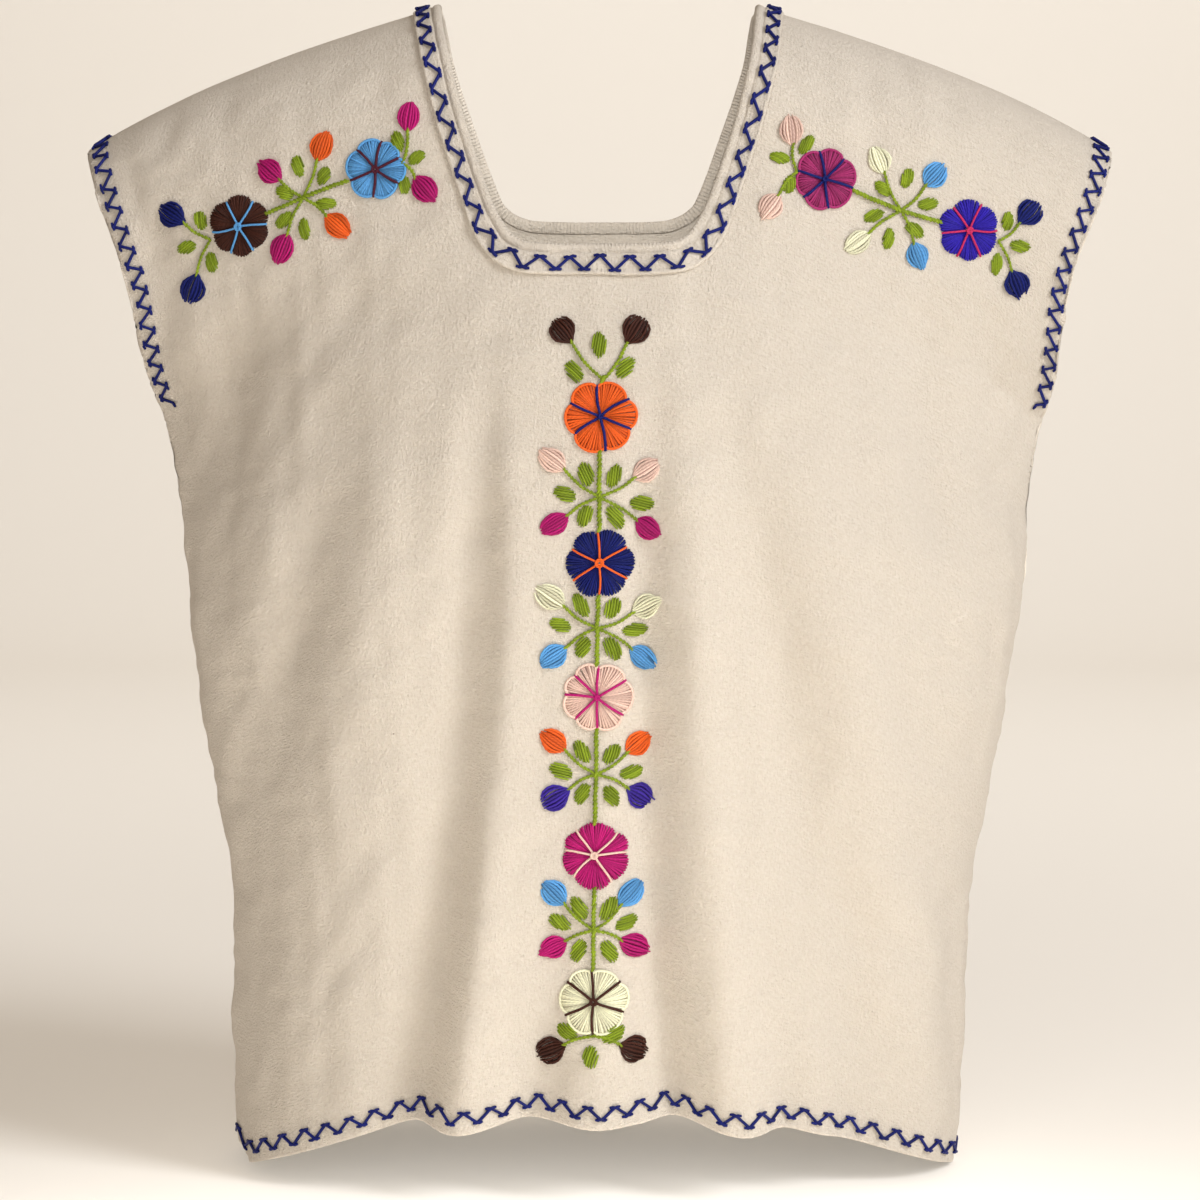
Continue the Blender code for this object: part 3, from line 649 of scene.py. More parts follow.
def lay(colour, side, q, v, lift, thick, tone=None):
    """Note one thread through these places; lift and thick, its radius, are in millimetres."""
    q, v = np.asarray(q, float), np.asarray(v, float)
    lift = np.broadcast_to(np.asarray(lift, float), q.shape)
    thick = np.broadcast_to(np.asarray(thick, float), q.shape)
    tone = tone_draw.uniform(-1, 1) if tone is None else tone
    THREADS.setdefault(colour, []).append((side, q, v, lift / 1000, thick / 1000, tone))


print("threads noted so far", len(THREADS))


# %% [markdown]
# ## Herringbone along the edges
# A herringbone stitch is a zigzag whose strokes cross near each tip, which leaves a short tail.
# It holds the neck band, the turned cuffs and the hem. The tracks are laid out in metres along and
# across each edge, and every stroke is a bent line between two tips.

# %% Lay the herringbone
class Track:
    """A strip of cloth beside an edge: at(s, t) is the place s metres along and t metres in."""

    def __init__(self, rows, offsets, side, sideways=1.0):
        self.rows, self.offsets, self.side = np.array(rows), np.array(offsets), side
        middle = self.rows[len(rows) // 2]
        line = surface(middle[:, 0], middle[:, 1], side) * np.array([1, sideways, 1])
        self.run = np.concatenate([[0], np.cumsum(np.linalg.norm(np.diff(line, axis=0), axis=1))])

    def at(self, s, t):
        s, t = np.atleast_1d(s), np.atleast_1d(t)
        column = np.interp(s, self.run, np.arange(len(self.run)))
        level = np.interp(t, self.offsets, np.arange(len(self.offsets)))
        i = np.clip(column.astype(int), 0, len(self.run) - 2)
        j = np.clip(level.astype(int), 0, len(self.offsets) - 2)
        a, b = (column - i)[:, None], (level - j)[:, None]
        near = self.rows[j, i] * (1 - a) + self.rows[j, i + 1] * a
        far = self.rows[j + 1, i] * (1 - a) + self.rows[j + 1, i + 1] * a
        return near * (1 - b) + far * b


def neck_track(side):
    offsets = np.array([0.003, 0.006, 0.009, 0.012, 0.014])
    share = band_width(EDGE[side], side) / 0.0155
    return Track([stepped_out(EDGE[side], d * share, side) for d in offsets], offsets, side)


def cuff_track(side, hand):
    offsets = np.array([0.001, 0.005, 0.010, 0.015, 0.020])
    v = np.linspace(0, UNDERARM_V, 90)
    rows = [np.stack([np.full_like(v, hand * (1 - d / GRAIN_ACROSS)), v], -1) for d in offsets]
    return Track(rows, offsets, side)


def hem_track(side):
    offsets = np.array([0.001, 0.005, 0.010, 0.015, 0.020])
    q = np.linspace(-1, 1, 400)
    rows = [np.stack([q, np.full_like(q, 1 - d / GRAIN_DOWN)], -1) for d in offsets]
    return Track(rows, offsets, side, sideways=0.45)


def herringbone(track, middle, half, period, lift, thick, start=0.0, stop=0.0):
    """Strokes of a zigzag whose ends run past the crossings; lift and thick in millimetres."""
    length = track.run[-1] - start - stop
    count = max(int(round(length / (period / 2))), 2)
    step = length / count
    for k in range(count):
        up = 1 if k % 2 == 0 else -1
        wander = tone_draw.normal(0, 0.025, 4)
        width = half * (1 + wander[2])
        s = start + step * (k + np.array([-0.40, -0.18, 0.08, 0.92, 1.18, 1.40]) + wander[0])
        t = middle + up * width * np.array([-0.97, -1.03, -0.84, 0.84, 1.03, 0.97])
        place = track.at(np.clip(s, 0.0003, track.run[-1] - 0.0003), t)
        over = lift + np.array([-0.1, 0.35, 0.15, 0.45, 0.75, 0.0]) * thick
        ends_thin = thick * np.array([0.8, 1, 1, 1, 1, 0.8])
        lay("navy", track.side, place[:, 0], place[:, 1], over, ends_thin)


for side in (FRONT, BACK):
    herringbone(neck_track(side), middle=0.0096, half=0.0035, period=0.0166, lift=2.7, thick=0.98)
    for hand in (-1, 1):
        herringbone(cuff_track(side, hand), middle=0.0088 if hand < 0 else 0.0072, half=0.0045,
                    period=0.0118, lift=1.3, thick=0.92, stop=0.004)
    herringbone(hem_track(side), middle=0.0090, half=0.0036, period=0.0142, lift=1.3, thick=0.92,
                start=0.003, stop=0.003)
print("herringbone strokes", len(THREADS["navy"]))

# %% [markdown]
# ## Motifs
# The flowers are ordinary six-petalled ones in satin stitch: strands fan out from the middle of
# each petal to its round rim, and spokes of another colour lie between the petals. Buds fan out
# from the end of a stem, leaves are filled with slanted strands, and stems are short stitches
# that overlap like a rope. Every motif is drawn flat in millimetres and laid on the cloth.

# %% Tools that draw one motif
class Spot:
    """A flat sheet of millimetres at one point of the front."""

    def __init__(self, x, z, turn=0.0):
        q, v = place_of([x / 1000], [z / 1000], FRONT)
        along_q, along_v = slopes(q, v, FRONT)
        self.q, self.v, self.turn = q[0], v[0], math.radians(turn)
        grid = np.array([[along_q[0, 0], along_v[0, 0]], [along_q[0, 2], along_v[0, 2]]])
        self.back = np.linalg.inv(grid) / 1000

    def lay(self, colour, x, z, lift, thick, tone=None):
        x, z = np.asarray(x, float), np.asarray(z, float)
        c, s = math.cos(self.turn), math.sin(self.turn)
        x, z = x * c - z * s, x * s + z * c
        dq = self.back[0, 0] * x + self.back[0, 1] * z
        dv = self.back[1, 0] * x + self.back[1, 1] * z
        lay(colour, FRONT, self.q + dq, self.v + dv, lift, thick, tone)


FLOSS = 0.58  # half the thickness of a strand in mm; real floss is finer, but wouldn't show singly


def flower(x, z, radius, colour, spoke, headings, rim, knot):
    """Petals fan out between spokes, whose headings run clockwise from straight up."""
    spot = Spot(x, z)
    bounds = list(headings) + [headings[0] + 360]
    for first, last in zip(bounds, bounds[1:]):
        middle, half = math.radians(90 - (first + last) / 2), math.radians((last - first) / 2)
        crowd = half / math.radians(30)
        stray = tone_draw.normal(0, 0.012)
        for layer, count in ((0, 13), (1, 12)):
            for u in np.linspace(-0.93, 0.93, int(round(count * crowd))):
                reach = radius * (0.79 + 0.21 * math.sqrt(1 - 0.98 * u * u) + stray)
                reach += tone_draw.normal(0, 0.10) - 0.4 * (1 - layer) - (0.4 if rim else 0)
                inner = radius * tone_draw.uniform(0.08, 0.16)
                t = np.array([0, 0.2, 0.45, 0.7, 0.9, 1.0])
                angle = middle - half * u * (0.86 + 0.14 * np.sqrt(t)) + tone_draw.normal(0, 0.010)
                r = inner + (reach - inner) * t
                pad = np.array([0.5, 1.0, 1.55, 1.7, 1.25, 0.2]) * (1 - 0.42 * u * u)
                pad = pad - 0.55 * (1 - layer) + tone_draw.normal(0, 0.13)
                # Strands of the lower layer get a much lower tone: painted shade in the gaps
                # between the upper strands.
                tone = tone_draw.uniform(-1, 1) - (2.6 if layer == 0 else 0)
                spot.lay(colour, r * np.cos(angle), r * np.sin(angle), np.maximum(0.75 + pad, 0.5),
                         FLOSS * np.array([0.36, 0.50, 0.80, 1.05, 1.12, 1.0]), tone)
        if rim:
            u = np.linspace(-0.97, 0.97, 12)
            reach = radius * (0.79 + 0.21 * np.sqrt(1 - 0.98 * u * u) + stray)
            angle = middle - half * u
            spot.lay(colour, reach * np.cos(angle), reach * np.sin(angle), 1.4, 0.82, 0.7)
    for heading in headings:
        angle = math.radians(90 - heading)
        r = radius * np.array([0.03, 0.2, 0.45, 0.7, 0.86, 0.93]) * tone_draw.uniform(0.95, 1.02)
        bow = tone_draw.normal(0, 0.5) * np.array([0, 0.6, 1, 0.8, 0.3, 0])
        across, up = r * math.cos(angle), r * math.sin(angle)
        spot.lay(spoke, across - bow * math.sin(angle), up + bow * math.cos(angle),
                 np.array([2.5, 2.8, 2.9, 2.7, 2.0, 1.0]), 0.82 if rim else 0.64, 0.2)
    for k in range(6):
        angle = np.linspace(0, 1.8 * math.pi, 9) + k * 1.25
        wide = knot * (0.45 + 0.28 * (k % 3))
        lift = 2.9 + 0.2 * k * np.ones(9)
        spot.lay(spoke, wide * np.cos(angle), wide * np.sin(angle), lift, 0.5, 0.3)


EGG = ((0, 0.52), (0.15, 0.80), (0.36, 1.0), (0.60, 0.97), (0.84, 0.78), (1.0, 0.48))
FAN = ((0, 0.30), (0.15, 0.66), (0.36, 0.95), (0.60, 1.0), (0.84, 0.90), (1.0, 0.64))


def bud(x, z, heading, colour, shape, length, width):
    """heading is the way from its stem to its tip, in degrees from straight up, clockwise."""
    spot = Spot(x, z, turn=-heading)
    t, swell = np.array(shape).T
    for layer, count in ((0, 9), (1, 8)):
        for u in np.linspace(-1, 1, count):
            across = u * (width / 2 - 0.5) * swell * (1 - 0.08 * (1 - layer))
            across = across + tone_draw.normal(0, 0.13)
            end = 1 - 0.12 * u * u + tone_draw.normal(0, 0.035) - 0.05 * (1 - layer)
            along = -length / 2 + 0.12 * length * u * u * (1 - t) + length * t * end
            pad = np.array([0.5, 1.1, 1.75, 1.75, 1.15, 0.2]) * (1 - 0.5 * u * u)
            pad = pad - 0.55 * (1 - layer) + tone_draw.normal(0, 0.16)
            # Strands of the lower layer get a much lower tone: painted shade in the gaps between
            # the upper strands.
            tone = tone_draw.uniform(-1, 1) - (2.6 if layer == 0 else 0)
            spot.lay(colour, across, along, np.maximum(0.75 + pad, 0.5),
                     FLOSS * np.array([0.75, 1, 1.25, 1.3, 1.15, 0.75]), tone)


def leaf(x, z, heading, length, width):
    """Thick strands that run up a leaf at a slant, from edge to edge of its oval."""
    spot = Spot(x, z, turn=-heading)
    slant = math.radians(tone_draw.choice((-1, 1)) * tone_draw.uniform(8, 19))
    c, s = math.cos(slant), math.sin(slant)
    half, reach = width / 2, length / 2
    for layer, count in ((0, 5), (1, 6)):
        for beside in np.linspace(-0.80, 0.80, count) * math.hypot(half * c, reach * s):
            a = (s / half) ** 2 + (c / reach) ** 2
            b = beside * c * s * (1 / half**2 - 1 / reach**2)
            far = (beside * c / half) ** 2 + (beside * s / reach) ** 2 - 1
            root = math.sqrt(max(b * b - a * far, 0))
            t = np.linspace((-b - root) / a, (-b + root) / a, 5) + tone_draw.normal(0, 0.25)
            t = t * (0.97 if layer else 0.90)
            pad = np.array([0.1, 0.8, 1.15, 0.8, 0.1]) - 0.45 * (1 - layer)
            pad = pad + tone_draw.normal(0, 0.15)
            # Strands of the lower layer get a much lower tone: painted shade in the gaps between
            # the upper strands.
            tone = tone_draw.uniform(-1, 1) - (2.4 if layer == 0 else 0)
            spot.lay("green", beside * c + t * s, t * c - beside * s, 0.75 + pad,
                     0.66 * np.array([0.7, 1, 1.05, 1, 0.7]), tone)


def stem(points, thick=0.62):
    """A rope of short slanted stitches through these x and z places, in millimetres."""
    line = curve_through(np.array(points, float), 1.1)
    q, v = place_of(line[:, 0] / 1000, line[:, 1] / 1000, FRONT)
    step = np.gradient(np.stack([q, v], -1) * GRAIN, axis=0)
    step /= np.maximum(np.linalg.norm(step, axis=-1, keepdims=True), 1e-9)
    aside = np.stack([-step[:, 1], step[:, 0]], -1) / GRAIN
    for k in range(-2, len(line) - 1, 2):
        pick = np.arange(max(k, 0), min(k + 4, len(line)))
        if len(pick) < 2:
            continue
        slant = np.linspace(-1, 1, len(pick)) + tone_draw.normal(0, 0.12)
        shift = (slant * thick * 0.00095)[:, None] * aside[pick]
        lift = thick * (1.15 + 1.1 * np.sin(np.linspace(0.05, 0.95, len(pick)) * math.pi)) + 0.5
        lay("green", FRONT, q[pick] + shift[:, 0], v[pick] + shift[:, 1], lift, thick)


# %% [markdown]
# ### Where the motifs lie
# The tables give each flower and sprig of the middle column and of the two shoulder sprays, from
# the neck down and from the outside in. x and z are in the blouse's frame, in millimetres.

# %% Tables of flowers and sprigs
FLOWERS = (  # x, z, radius, petals, spokes, headings of the spokes, rim, knot
    (1.2, -232.5, 19.6, "orange", "navy", (-6, 59, 112, 171, 236, 293), True, 1.0),
    (0.7, -312.5, 19.0, "navy", "orange", (-3, 60, 121, 180, 236, 296), False, 2.1),
    (-0.5, -386.7, 18.7, "pale_pink", "magenta", (3, 60, 128, 179, 225, 274, 315), True, 1.3),
    (-1.6, -474.7, 18.5, "magenta", "pale_pink", (43, 88, 149, 224, 279, 325), False, 1.7),
    (-2.1, -555.1, 18.5, "cream", "brown", (-3, 53, 114, 181, 241, 305), True, 1.8),
    (-200.6, -126.7, 16.9, "brown", "light_blue", (-28, 27, 85, 148, 199, 260), False, 1.8),
    (-123.4, -96.1, 16.6, "light_blue", "maroon", (12, 64, 120, 184, 248, 317), True, 1.8),
    (126.3, -101.7, 17.1, "plum", "navy", (-12, 42, 106, 173, 232, 288), True, 1.4),
    (207.7, -128.9, 17.0, "violet", "crimson", (26, 89, 154, 205, 264, 326), False, 1.8),
)
SPRIGS = (  # x, z, then four buds as x, z, colour
    (0.7, -276.2, (-25.1, -255.9, "pale_pink"), (26.4, -261.5, "pale_pink"),
     (-24.0, -291.0, "magenta"), (27.5, -293.3, "magenta")),
    (-0.4, -348.4, (-26.2, -331.1, "cream"), (26.5, -336.4, "cream"),
     (-24.7, -363.8, "light_blue"), (24.9, -365.3, "light_blue")),
    (-1.0, -429.5, (-24.7, -411.1, "orange"), (22.2, -413.0, "orange"),
     (-23.1, -442.1, "purple"), (22.8, -441.9, "purple")),
    (-2.1, -515.5, (-24.2, -495.4, "light_blue"), (17.8, -496.0, "light_blue"),
     (-24.8, -525.5, "magenta"), (20.0, -524.9, "magenta")),
    (-164.0, -111.4, (-183.3, -96.2, "magenta"), (-176.1, -139.7, "magenta"),
     (-153.8, -82.6, "orange"), (-144.7, -127.1, "orange")),
    (168.7, -118.6, (156.7, -90.3, "cream"), (144.2, -136.0, "cream"),
     (188.0, -98.4, "light_blue"), (178.5, -143.6, "light_blue")),
)
PAIRS = (  # x, z of the fork, then two buds as x, z, colour
    (2.8, -212.4, (-19.1, -186.0, "brown"), (20.4, -185.5, "brown")),
    (-2.1, -573.4, (-25.4, -582.5, "brown"), (18.9, -581.5, "brown")),
    (-217.4, -133.8, (-239.2, -120.3, "navy"), (-228.6, -161.2, "navy")),
    (-108.2, -92.9, (-105.0, -66.8, "magenta"), (-95.8, -106.9, "magenta")),
    (110.1, -97.4, (107.3, -74.0, "pale_pink"), (95.4, -116.9, "pale_pink")),
    (225.0, -134.9, (242.1, -119.2, "navy"), (236.1, -158.4, "navy")),
)
LEAVES = (  # x, z, heading from straight up, clockwise
    (0.7, -193.1, 0), (-13.0, -207.9, -35), (14.9, -205.7, 40),
    (-6.5, -263.6, -12), (8.9, -264.7, 22), (-18.0, -274.5, -68), (24.2, -279.6, 94),
    (-7.0, -286.6, 205), (9.4, -287.2, 152),
    (-9.2, -335.7, -28), (7.8, -337.3, 28), (-20.8, -346.7, -70), (20.5, -349.6, 84),
    (-8.2, -358.9, 205), (7.8, -360.0, 152),
    (-8.7, -417.2, -30), (7.3, -418.4, 32), (-20.3, -427.8, -62), (18.3, -429.0, 76),
    (-8.7, -440.5, 208), (7.3, -441.7, 150),
    (-9.9, -503.5, -30), (5.6, -503.4, 30), (-20.9, -511.5, -62), (15.6, -511.9, 66),
    (-10.4, -526.8, 205), (6.2, -527.1, 152),
    (-16.5, -571.7, -58), (8.4, -572.7, 58), (-3.8, -585.0, 180),
    (-223.0, -123.2, -14), (-231.4, -138.2, -112), (-217.1, -146.7, 172),
    (-167.3, -93.6, -12), (-152.6, -99.3, 28), (-174.8, -108.5, -60), (-151.5, -114.8, 86),
    (-174.9, -123.6, 228), (-163.5, -128.6, 172),
    (-111.0, -80.7, -14), (-100.4, -89.6, 55), (-107.1, -104.6, 176),
    (115.7, -82.3, 35), (100.6, -89.6, -78), (106.1, -104.6, 196),
    (159.0, -106.4, -52), (184.1, -114.6, 78), (153.4, -121.5, -112), (161.9, -134.2, 192),
    (176.7, -129.1, 125), (172.4, -100.5, 22),
    (230.0, -123.7, 12), (237.8, -137.7, 98), (224.2, -147.8, 186),
)
STEMS = (  # the stalks between the flowers, as x and z places
    ((2.8, -210), (2.2, -214)),
    ((0.8, -251), (0.7, -276.2), (0.7, -295)),
    ((0.3, -330), (-0.4, -348.4), (-0.5, -369.5)),
    ((-0.7, -404), (-1.0, -429.5), (-1.4, -457.5)),
    ((-1.8, -492), (-2.1, -515.5), (-2.1, -538)),
    ((-185.5, -120.4), (-164.0, -111.4), (-138.4, -101.7)),
    ((141.2, -107.6), (168.7, -118.6), (192.2, -124.8)),
)
print("flowers", len(FLOWERS), "sprigs", len(SPRIGS), "pairs", len(PAIRS), "leaves", len(LEAVES))


# %% Lay every motif
def heading_of(dx, dz):
    return math.degrees(math.atan2(dx, dz))


FANNED = ("brown", "navy", "purple")


def branch(x, z, bud_x, bud_z, colour):
    """A short stem to one bud, bowed a little, and the bud."""
    fanned = colour in FANNED
    length = tone_draw.uniform(15.5, 17.5) if fanned else tone_draw.uniform(15.5, 18)
    width = tone_draw.uniform(13.8, 15.5) if fanned else tone_draw.uniform(12, 13.5)
    away = np.array([bud_x - x, bud_z - z])
    reach = np.hypot(*away)
    away = away / reach
    end = np.array([bud_x, bud_z]) - away * (length / 2 - 1.5)
    aside = np.array([away[1], -away[0]]) * 1.4 * math.copysign(1, away[0] * away[1] or 1)
    stem([(x, z), tuple((np.array([x, z]) + end) / 2 + aside), tuple(end)])
    bud(bud_x, bud_z, heading_of(*away), colour, FAN if fanned else EGG, length, width)


for points in STEMS:
    stem(points, 0.85)
for x, z, *buds in SPRIGS + PAIRS:
    for bud_x, bud_z, colour in buds:
        branch(x, z, bud_x, bud_z, colour)
for x, z, heading in LEAVES:
    share = 0.86 if z > -160 else 1.0
    leaf(x, z, heading, share * tone_draw.uniform(12.5, 15), share * tone_draw.uniform(7.2, 8.6))
for row in FLOWERS:
    flower(*row)
print("threads by colour", {name: len(lines) for name, lines in THREADS.items()})

# %% [markdown]
# ## Materials
# Unbleached cotton is warm, dull and a little fuzzy, with an uneven plain weave and tiny brown
# flecks of seed. Cotton floss has a soft shine along its length. Colours are given as they look
# on a screen and turned to linear light by one function. The patterns are worked out from real
# millimetres and not painted, so they keep their size on every piece and stay sharp up close.

# %% Colours and node helpers
def linear(code, shade=1.0):
    """Turn a colour as a screen shows it, made darker or lighter, into linear light."""
    parts = [int(code[i : i + 2], 16) / 255 for i in (1, 3, 5)]
    light = [c / 12.92 if c <= 0.04045 else ((c + 0.055) / 1.055) ** 2.4 for c in parts]
    return (*[min(c * shade, 1.0) for c in light], 1.0)


def add(tree, kind, inputs=None, **settings):
    """Add a node with its settings; each input takes a value or a link from an earlier node."""
    node = tree.nodes.new(kind)
    for name, value in settings.items():
        setattr(node, name, value)
    for name, value in (inputs or {}).items():
        if isinstance(value, bpy.types.Node):
            value = value.outputs[0]
        if isinstance(value, bpy.types.NodeSocket):
            tree.links.new(value, node.inputs[name])
        else:
            node.inputs[name].default_value = value
    return node


def new_material(name):
    material = bpy.data.materials.new(name)
    material.use_nodes = True
    material.node_tree.nodes.clear()
    return material, material.node_tree


MATH, MIX, NOISE = "ShaderNodeMath", "ShaderNodeMix", "ShaderNodeTexNoise"
PRINCIPLED, OUTPUT = "ShaderNodeBsdfPrincipled", "ShaderNodeOutputMaterial"
print("white as linear light", linear("#FFFFFF"))

# %% The cotton
# It gives the eye a warm, matt white that weave, slubs and specks keep from being even.
COTTON_LIGHT, COTTON_DEEP, FLECK = linear("#E6DCCE"), linear("#DACEBD"), linear("#6B4A2E")
THREAD_PITCH = 0.00085  # metres between yarns; real ones lie closer, but wouldn't show here
YARN_WANDER = 0.0016  # how far the yarns stray from straight
SLUBS = ((760.0, 330.0, 0.5), (340.0, 800.0, -0.35))  # pattern per metre across, down; turn
RIB_PITCH, RIB_START = 0.0021, 0.0185  # ribs on the band's inner fold, from here round its profile
CELLS, RARE = 42.0, 0.84  # cells to the metre, and the draw above which a cell holds a fleck


def cotton_material(name, ribs=False):
    """Plain-woven unbleached cotton: yarns at right angles, slubs, fuzz and seed flecks."""
    material, tree = new_material(name)
    cloth = add(tree, "ShaderNodeUVMap", uv_map="cloth")
    split = add(tree, "ShaderNodeSeparateXYZ", {0: cloth})
    wander = add(tree, NOISE, {"Vector": cloth, "Scale": 90.0, "Detail": 2.0})
    shift = add(tree, MATH, {0: wander, 1: YARN_WANDER}, operation="MULTIPLY")
    beats = []
    for axis, pitch in [(0, THREAD_PITCH), (1, THREAD_PITCH)] + ribs * [(0, RIB_PITCH)]:
        place = add(tree, MATH, {0: split.outputs[axis], 1: shift}, operation="ADD")
        turn = add(tree, MATH, {0: place, 1: 2 * math.pi / pitch}, operation="MULTIPLY")
        beats.append(add(tree, MATH, {0: turn}, operation="SINE"))
    grain = 0.0
    for across, down, turn in SLUBS:
        stretched = add(tree, "ShaderNodeMapping", {
            "Vector": cloth, "Scale": (across, down, 1.0), "Rotation": (0, 0, turn)})
        slubs = add(tree, NOISE, {
            "Vector": stretched, "Scale": 1.0, "Detail": 3.0, "Roughness": 0.6})
        grain = add(tree, MATH, {0: slubs, 1: grain}, operation="ADD")
    weave = add(tree, MATH, {0: beats[0], 1: beats[1]}, operation="MULTIPLY")
    height = add(tree, MATH, {0: weave, 1: 0.10, 2: grain}, operation="MULTIPLY_ADD")
    if ribs:
        inner = add(tree, MATH, {0: split.outputs[1], 1: RIB_START}, operation="GREATER_THAN")
        rib = add(tree, MATH, {0: beats[2], 1: inner}, operation="MULTIPLY")
        height = add(tree, MATH, {0: rib, 1: 0.16, 2: height}, operation="MULTIPLY_ADD")
    tone = add(tree, "ShaderNodeMapRange", {0: grain, 1: 0.75, 2: 1.25, 3: 0.0, 4: 1.0})
    cloud = add(tree, NOISE, {"Vector": cloth, "Scale": 14.0, "Detail": 3.0})
    patches = add(tree, MATH, {0: cloud, 1: 0.22}, operation="MULTIPLY")
    cells = add(tree, "ShaderNodeTexVoronoi", {"Vector": cloth, "Scale": CELLS})
    chance = add(tree, "ShaderNodeSeparateColor", {0: cells.outputs["Color"]})
    rare = add(tree, MATH, {0: chance, 1: RARE}, operation="GREATER_THAN")
    size = add(tree, MATH, {0: chance.outputs[1], 1: 0.022, 2: 0.008}, operation="MULTIPLY_ADD")
    near = add(tree, MATH, {0: cells.outputs["Distance"], 1: size}, operation="LESS_THAN")
    fleck = add(tree, MATH, {0: rare, 1: near}, operation="MULTIPLY")
    fleck = add(tree, MATH, {0: fleck, 1: 0.75}, operation="MULTIPLY")
    base = COTTON_DEEP
    for factor, colour in ((tone, COTTON_LIGHT), (patches, COTTON_DEEP), (fleck, FLECK)):
        base = add(tree, MIX, {0: factor, 6: base, 7: colour}, data_type="RGBA").outputs[2]
    bump = add(tree, "ShaderNodeBump", {"Strength": 0.95, "Distance": 0.0017, "Height": height})
    shader = add(tree, PRINCIPLED, {
        "Base Color": base, "Normal": bump, "Roughness": 0.92, "Specular IOR Level": 0.25,
        "Sheen Weight": 0.12, "Sheen Roughness": 0.6})
    add(tree, OUTPUT, {"Surface": shader})
    return material


body_cotton = cotton_material("Unbleached plain-woven cotton")
band_cotton = cotton_material("Unbleached cotton, folded and stitched", ribs=True)
for item, material in ((front, body_cotton), (back, body_cotton),
                       (front_band, band_cotton), (back_band, band_cotton)):
    item.data.materials.append(material)
print("yarns to the centimetre %.0f" % (0.01 / THREAD_PITCH))

# %% The floss
# It gives the eye clear colour with a soft gleam that runs along the strands.
FLOSS_COLOURS = {
    "navy": "#081664", "orange": "#F2611F", "pale_pink": "#F3C6B6", "magenta": "#B3136C",
    "cream": "#EFE6C4", "brown": "#3E1B0F", "light_blue": "#5B9CD4", "maroon": "#4A1226",
    "plum": "#9E2C66", "crimson": "#C22A5E", "violet": "#2B1AA2", "purple": "#38228F",
    "green": "#82961E",
}
PLY_TURN, PLIES = 0.0024, 2  # metres for one turn of the twist, and plies in a strand


def floss_material(name, code):
    """Mercerised cotton floss: plies that twist round the thread, each strand its own tone, with
    painted shade in the ply grooves and on the lower strands.
    """
    material, tree = new_material(name)
    tone, along, around = (add(tree, "ShaderNodeAttribute", attribute_name=label).outputs["Fac"]
                           for label in ("tone", "along", "around"))
    run = add(tree, MATH, {0: along, 1: 2 * math.pi / PLY_TURN}, operation="MULTIPLY")
    spin = add(tree, MATH, {0: around, 1: PLIES * 2 * math.pi, 2: run}, operation="MULTIPLY_ADD")
    plies = add(tree, MATH, {0: spin}, operation="SINE")
    # The twist of the plies also darkens the colour in their grooves and lightens it on their
    # crowns: painted shade and painted highlight.
    shade = add(tree, MATH, {0: plies, 1: 0.10}, operation="MULTIPLY")
    shade = add(tree, MATH, {0: tone, 1: 0.24, 2: shade}, operation="MULTIPLY_ADD")
    factor = add(tree, MATH, {0: shade, 1: 0.5}, operation="ADD")
    # A dark and a light copy of the floss colour: random tone spreads the strands between them, and
    # the ply grooves and lower strands lean to the dark one as painted shade.
    dark, light = linear(code, 0.42), linear(code, 1.30)
    base = add(tree, MIX, {0: factor, 6: dark, 7: light}, data_type="RGBA").outputs[2]
    bump = add(tree, "ShaderNodeBump", {"Strength": 0.35, "Distance": 0.0002, "Height": plies})
    shader = add(tree, PRINCIPLED, {
        "Base Color": base, "Normal": bump, "Roughness": 0.58, "Specular IOR Level": 0.22})
    add(tree, OUTPUT, {"Surface": shader})
    return material


floss = {name: floss_material("Mercerised cotton floss, " + name.replace("_", " "), code)
         for name, code in FLOSS_COLOURS.items()}
print("floss colours", len(floss))

# %% [markdown]
# ## From lines to threads
# A thread is a circle carried along its line. The tree takes the bare lines, reads each point's
# thickness, sweeps the circle, keeps how far along and around each spot lies for the material,
# and ends in a plain mesh of one floss.

# %% The Geometry Nodes tree and the thread meshes
SIDES = 6
GEOMETRY = "GeometryNode"


def thread_tree():
    tree = bpy.data.node_groups.new("Threads along lines", "GeometryNodeTree")
    for name, way, kind in (("Geometry", "INPUT", "Geometry"), ("Sides", "INPUT", "Int"),
                            ("Floss", "INPUT", "Material"), ("Geometry", "OUTPUT", "Geometry")):
        tree.interface.new_socket(name, in_out=way, socket_type="NodeSocket" + kind)
    start = add(tree, "NodeGroupInput").outputs
    kept = []
    bare = add(tree, GEOMETRY + "MeshToCurve", {"Mesh": start["Geometry"]})
    circle = add(tree, GEOMETRY + "CurvePrimitiveCircle", {
        "Radius": 1.0, "Resolution": start["Sides"]})
    for curve, label, measure in ((bare, "along", "Length"), (circle, "around", "Factor")):
        place = add(tree, GEOMETRY + "SplineParameter").outputs[measure]
        kept.append(add(tree, GEOMETRY + "StoreNamedAttribute", {
            "Geometry": curve, "Name": label, "Value": place}, data_type="FLOAT", domain="POINT"))
    thick = add(tree, GEOMETRY + "InputNamedAttribute", {"Name": "thick"}, data_type="FLOAT")
    sweep = add(tree, GEOMETRY + "CurveToMesh", {
        "Curve": kept[0], "Profile Curve": kept[1], "Scale": thick.outputs["Attribute"],
        "Fill Caps": True})
    smooth = add(tree, GEOMETRY + "SetShadeSmooth", {"Geometry": sweep})
    real = add(tree, GEOMETRY + "RealizeInstances", {"Geometry": smooth})
    paint = add(tree, GEOMETRY + "SetMaterial", {"Geometry": real, "Material": start["Floss"]})
    add(tree, "NodeGroupOutput", {"Geometry": paint})
    return tree


def set_inputs(modifier, tree, **values):
    for socket in tree.interface.items_tree:
        if socket.in_out == "INPUT" and socket.name in values:
            modifier[socket.identifier] = values[socket.name]


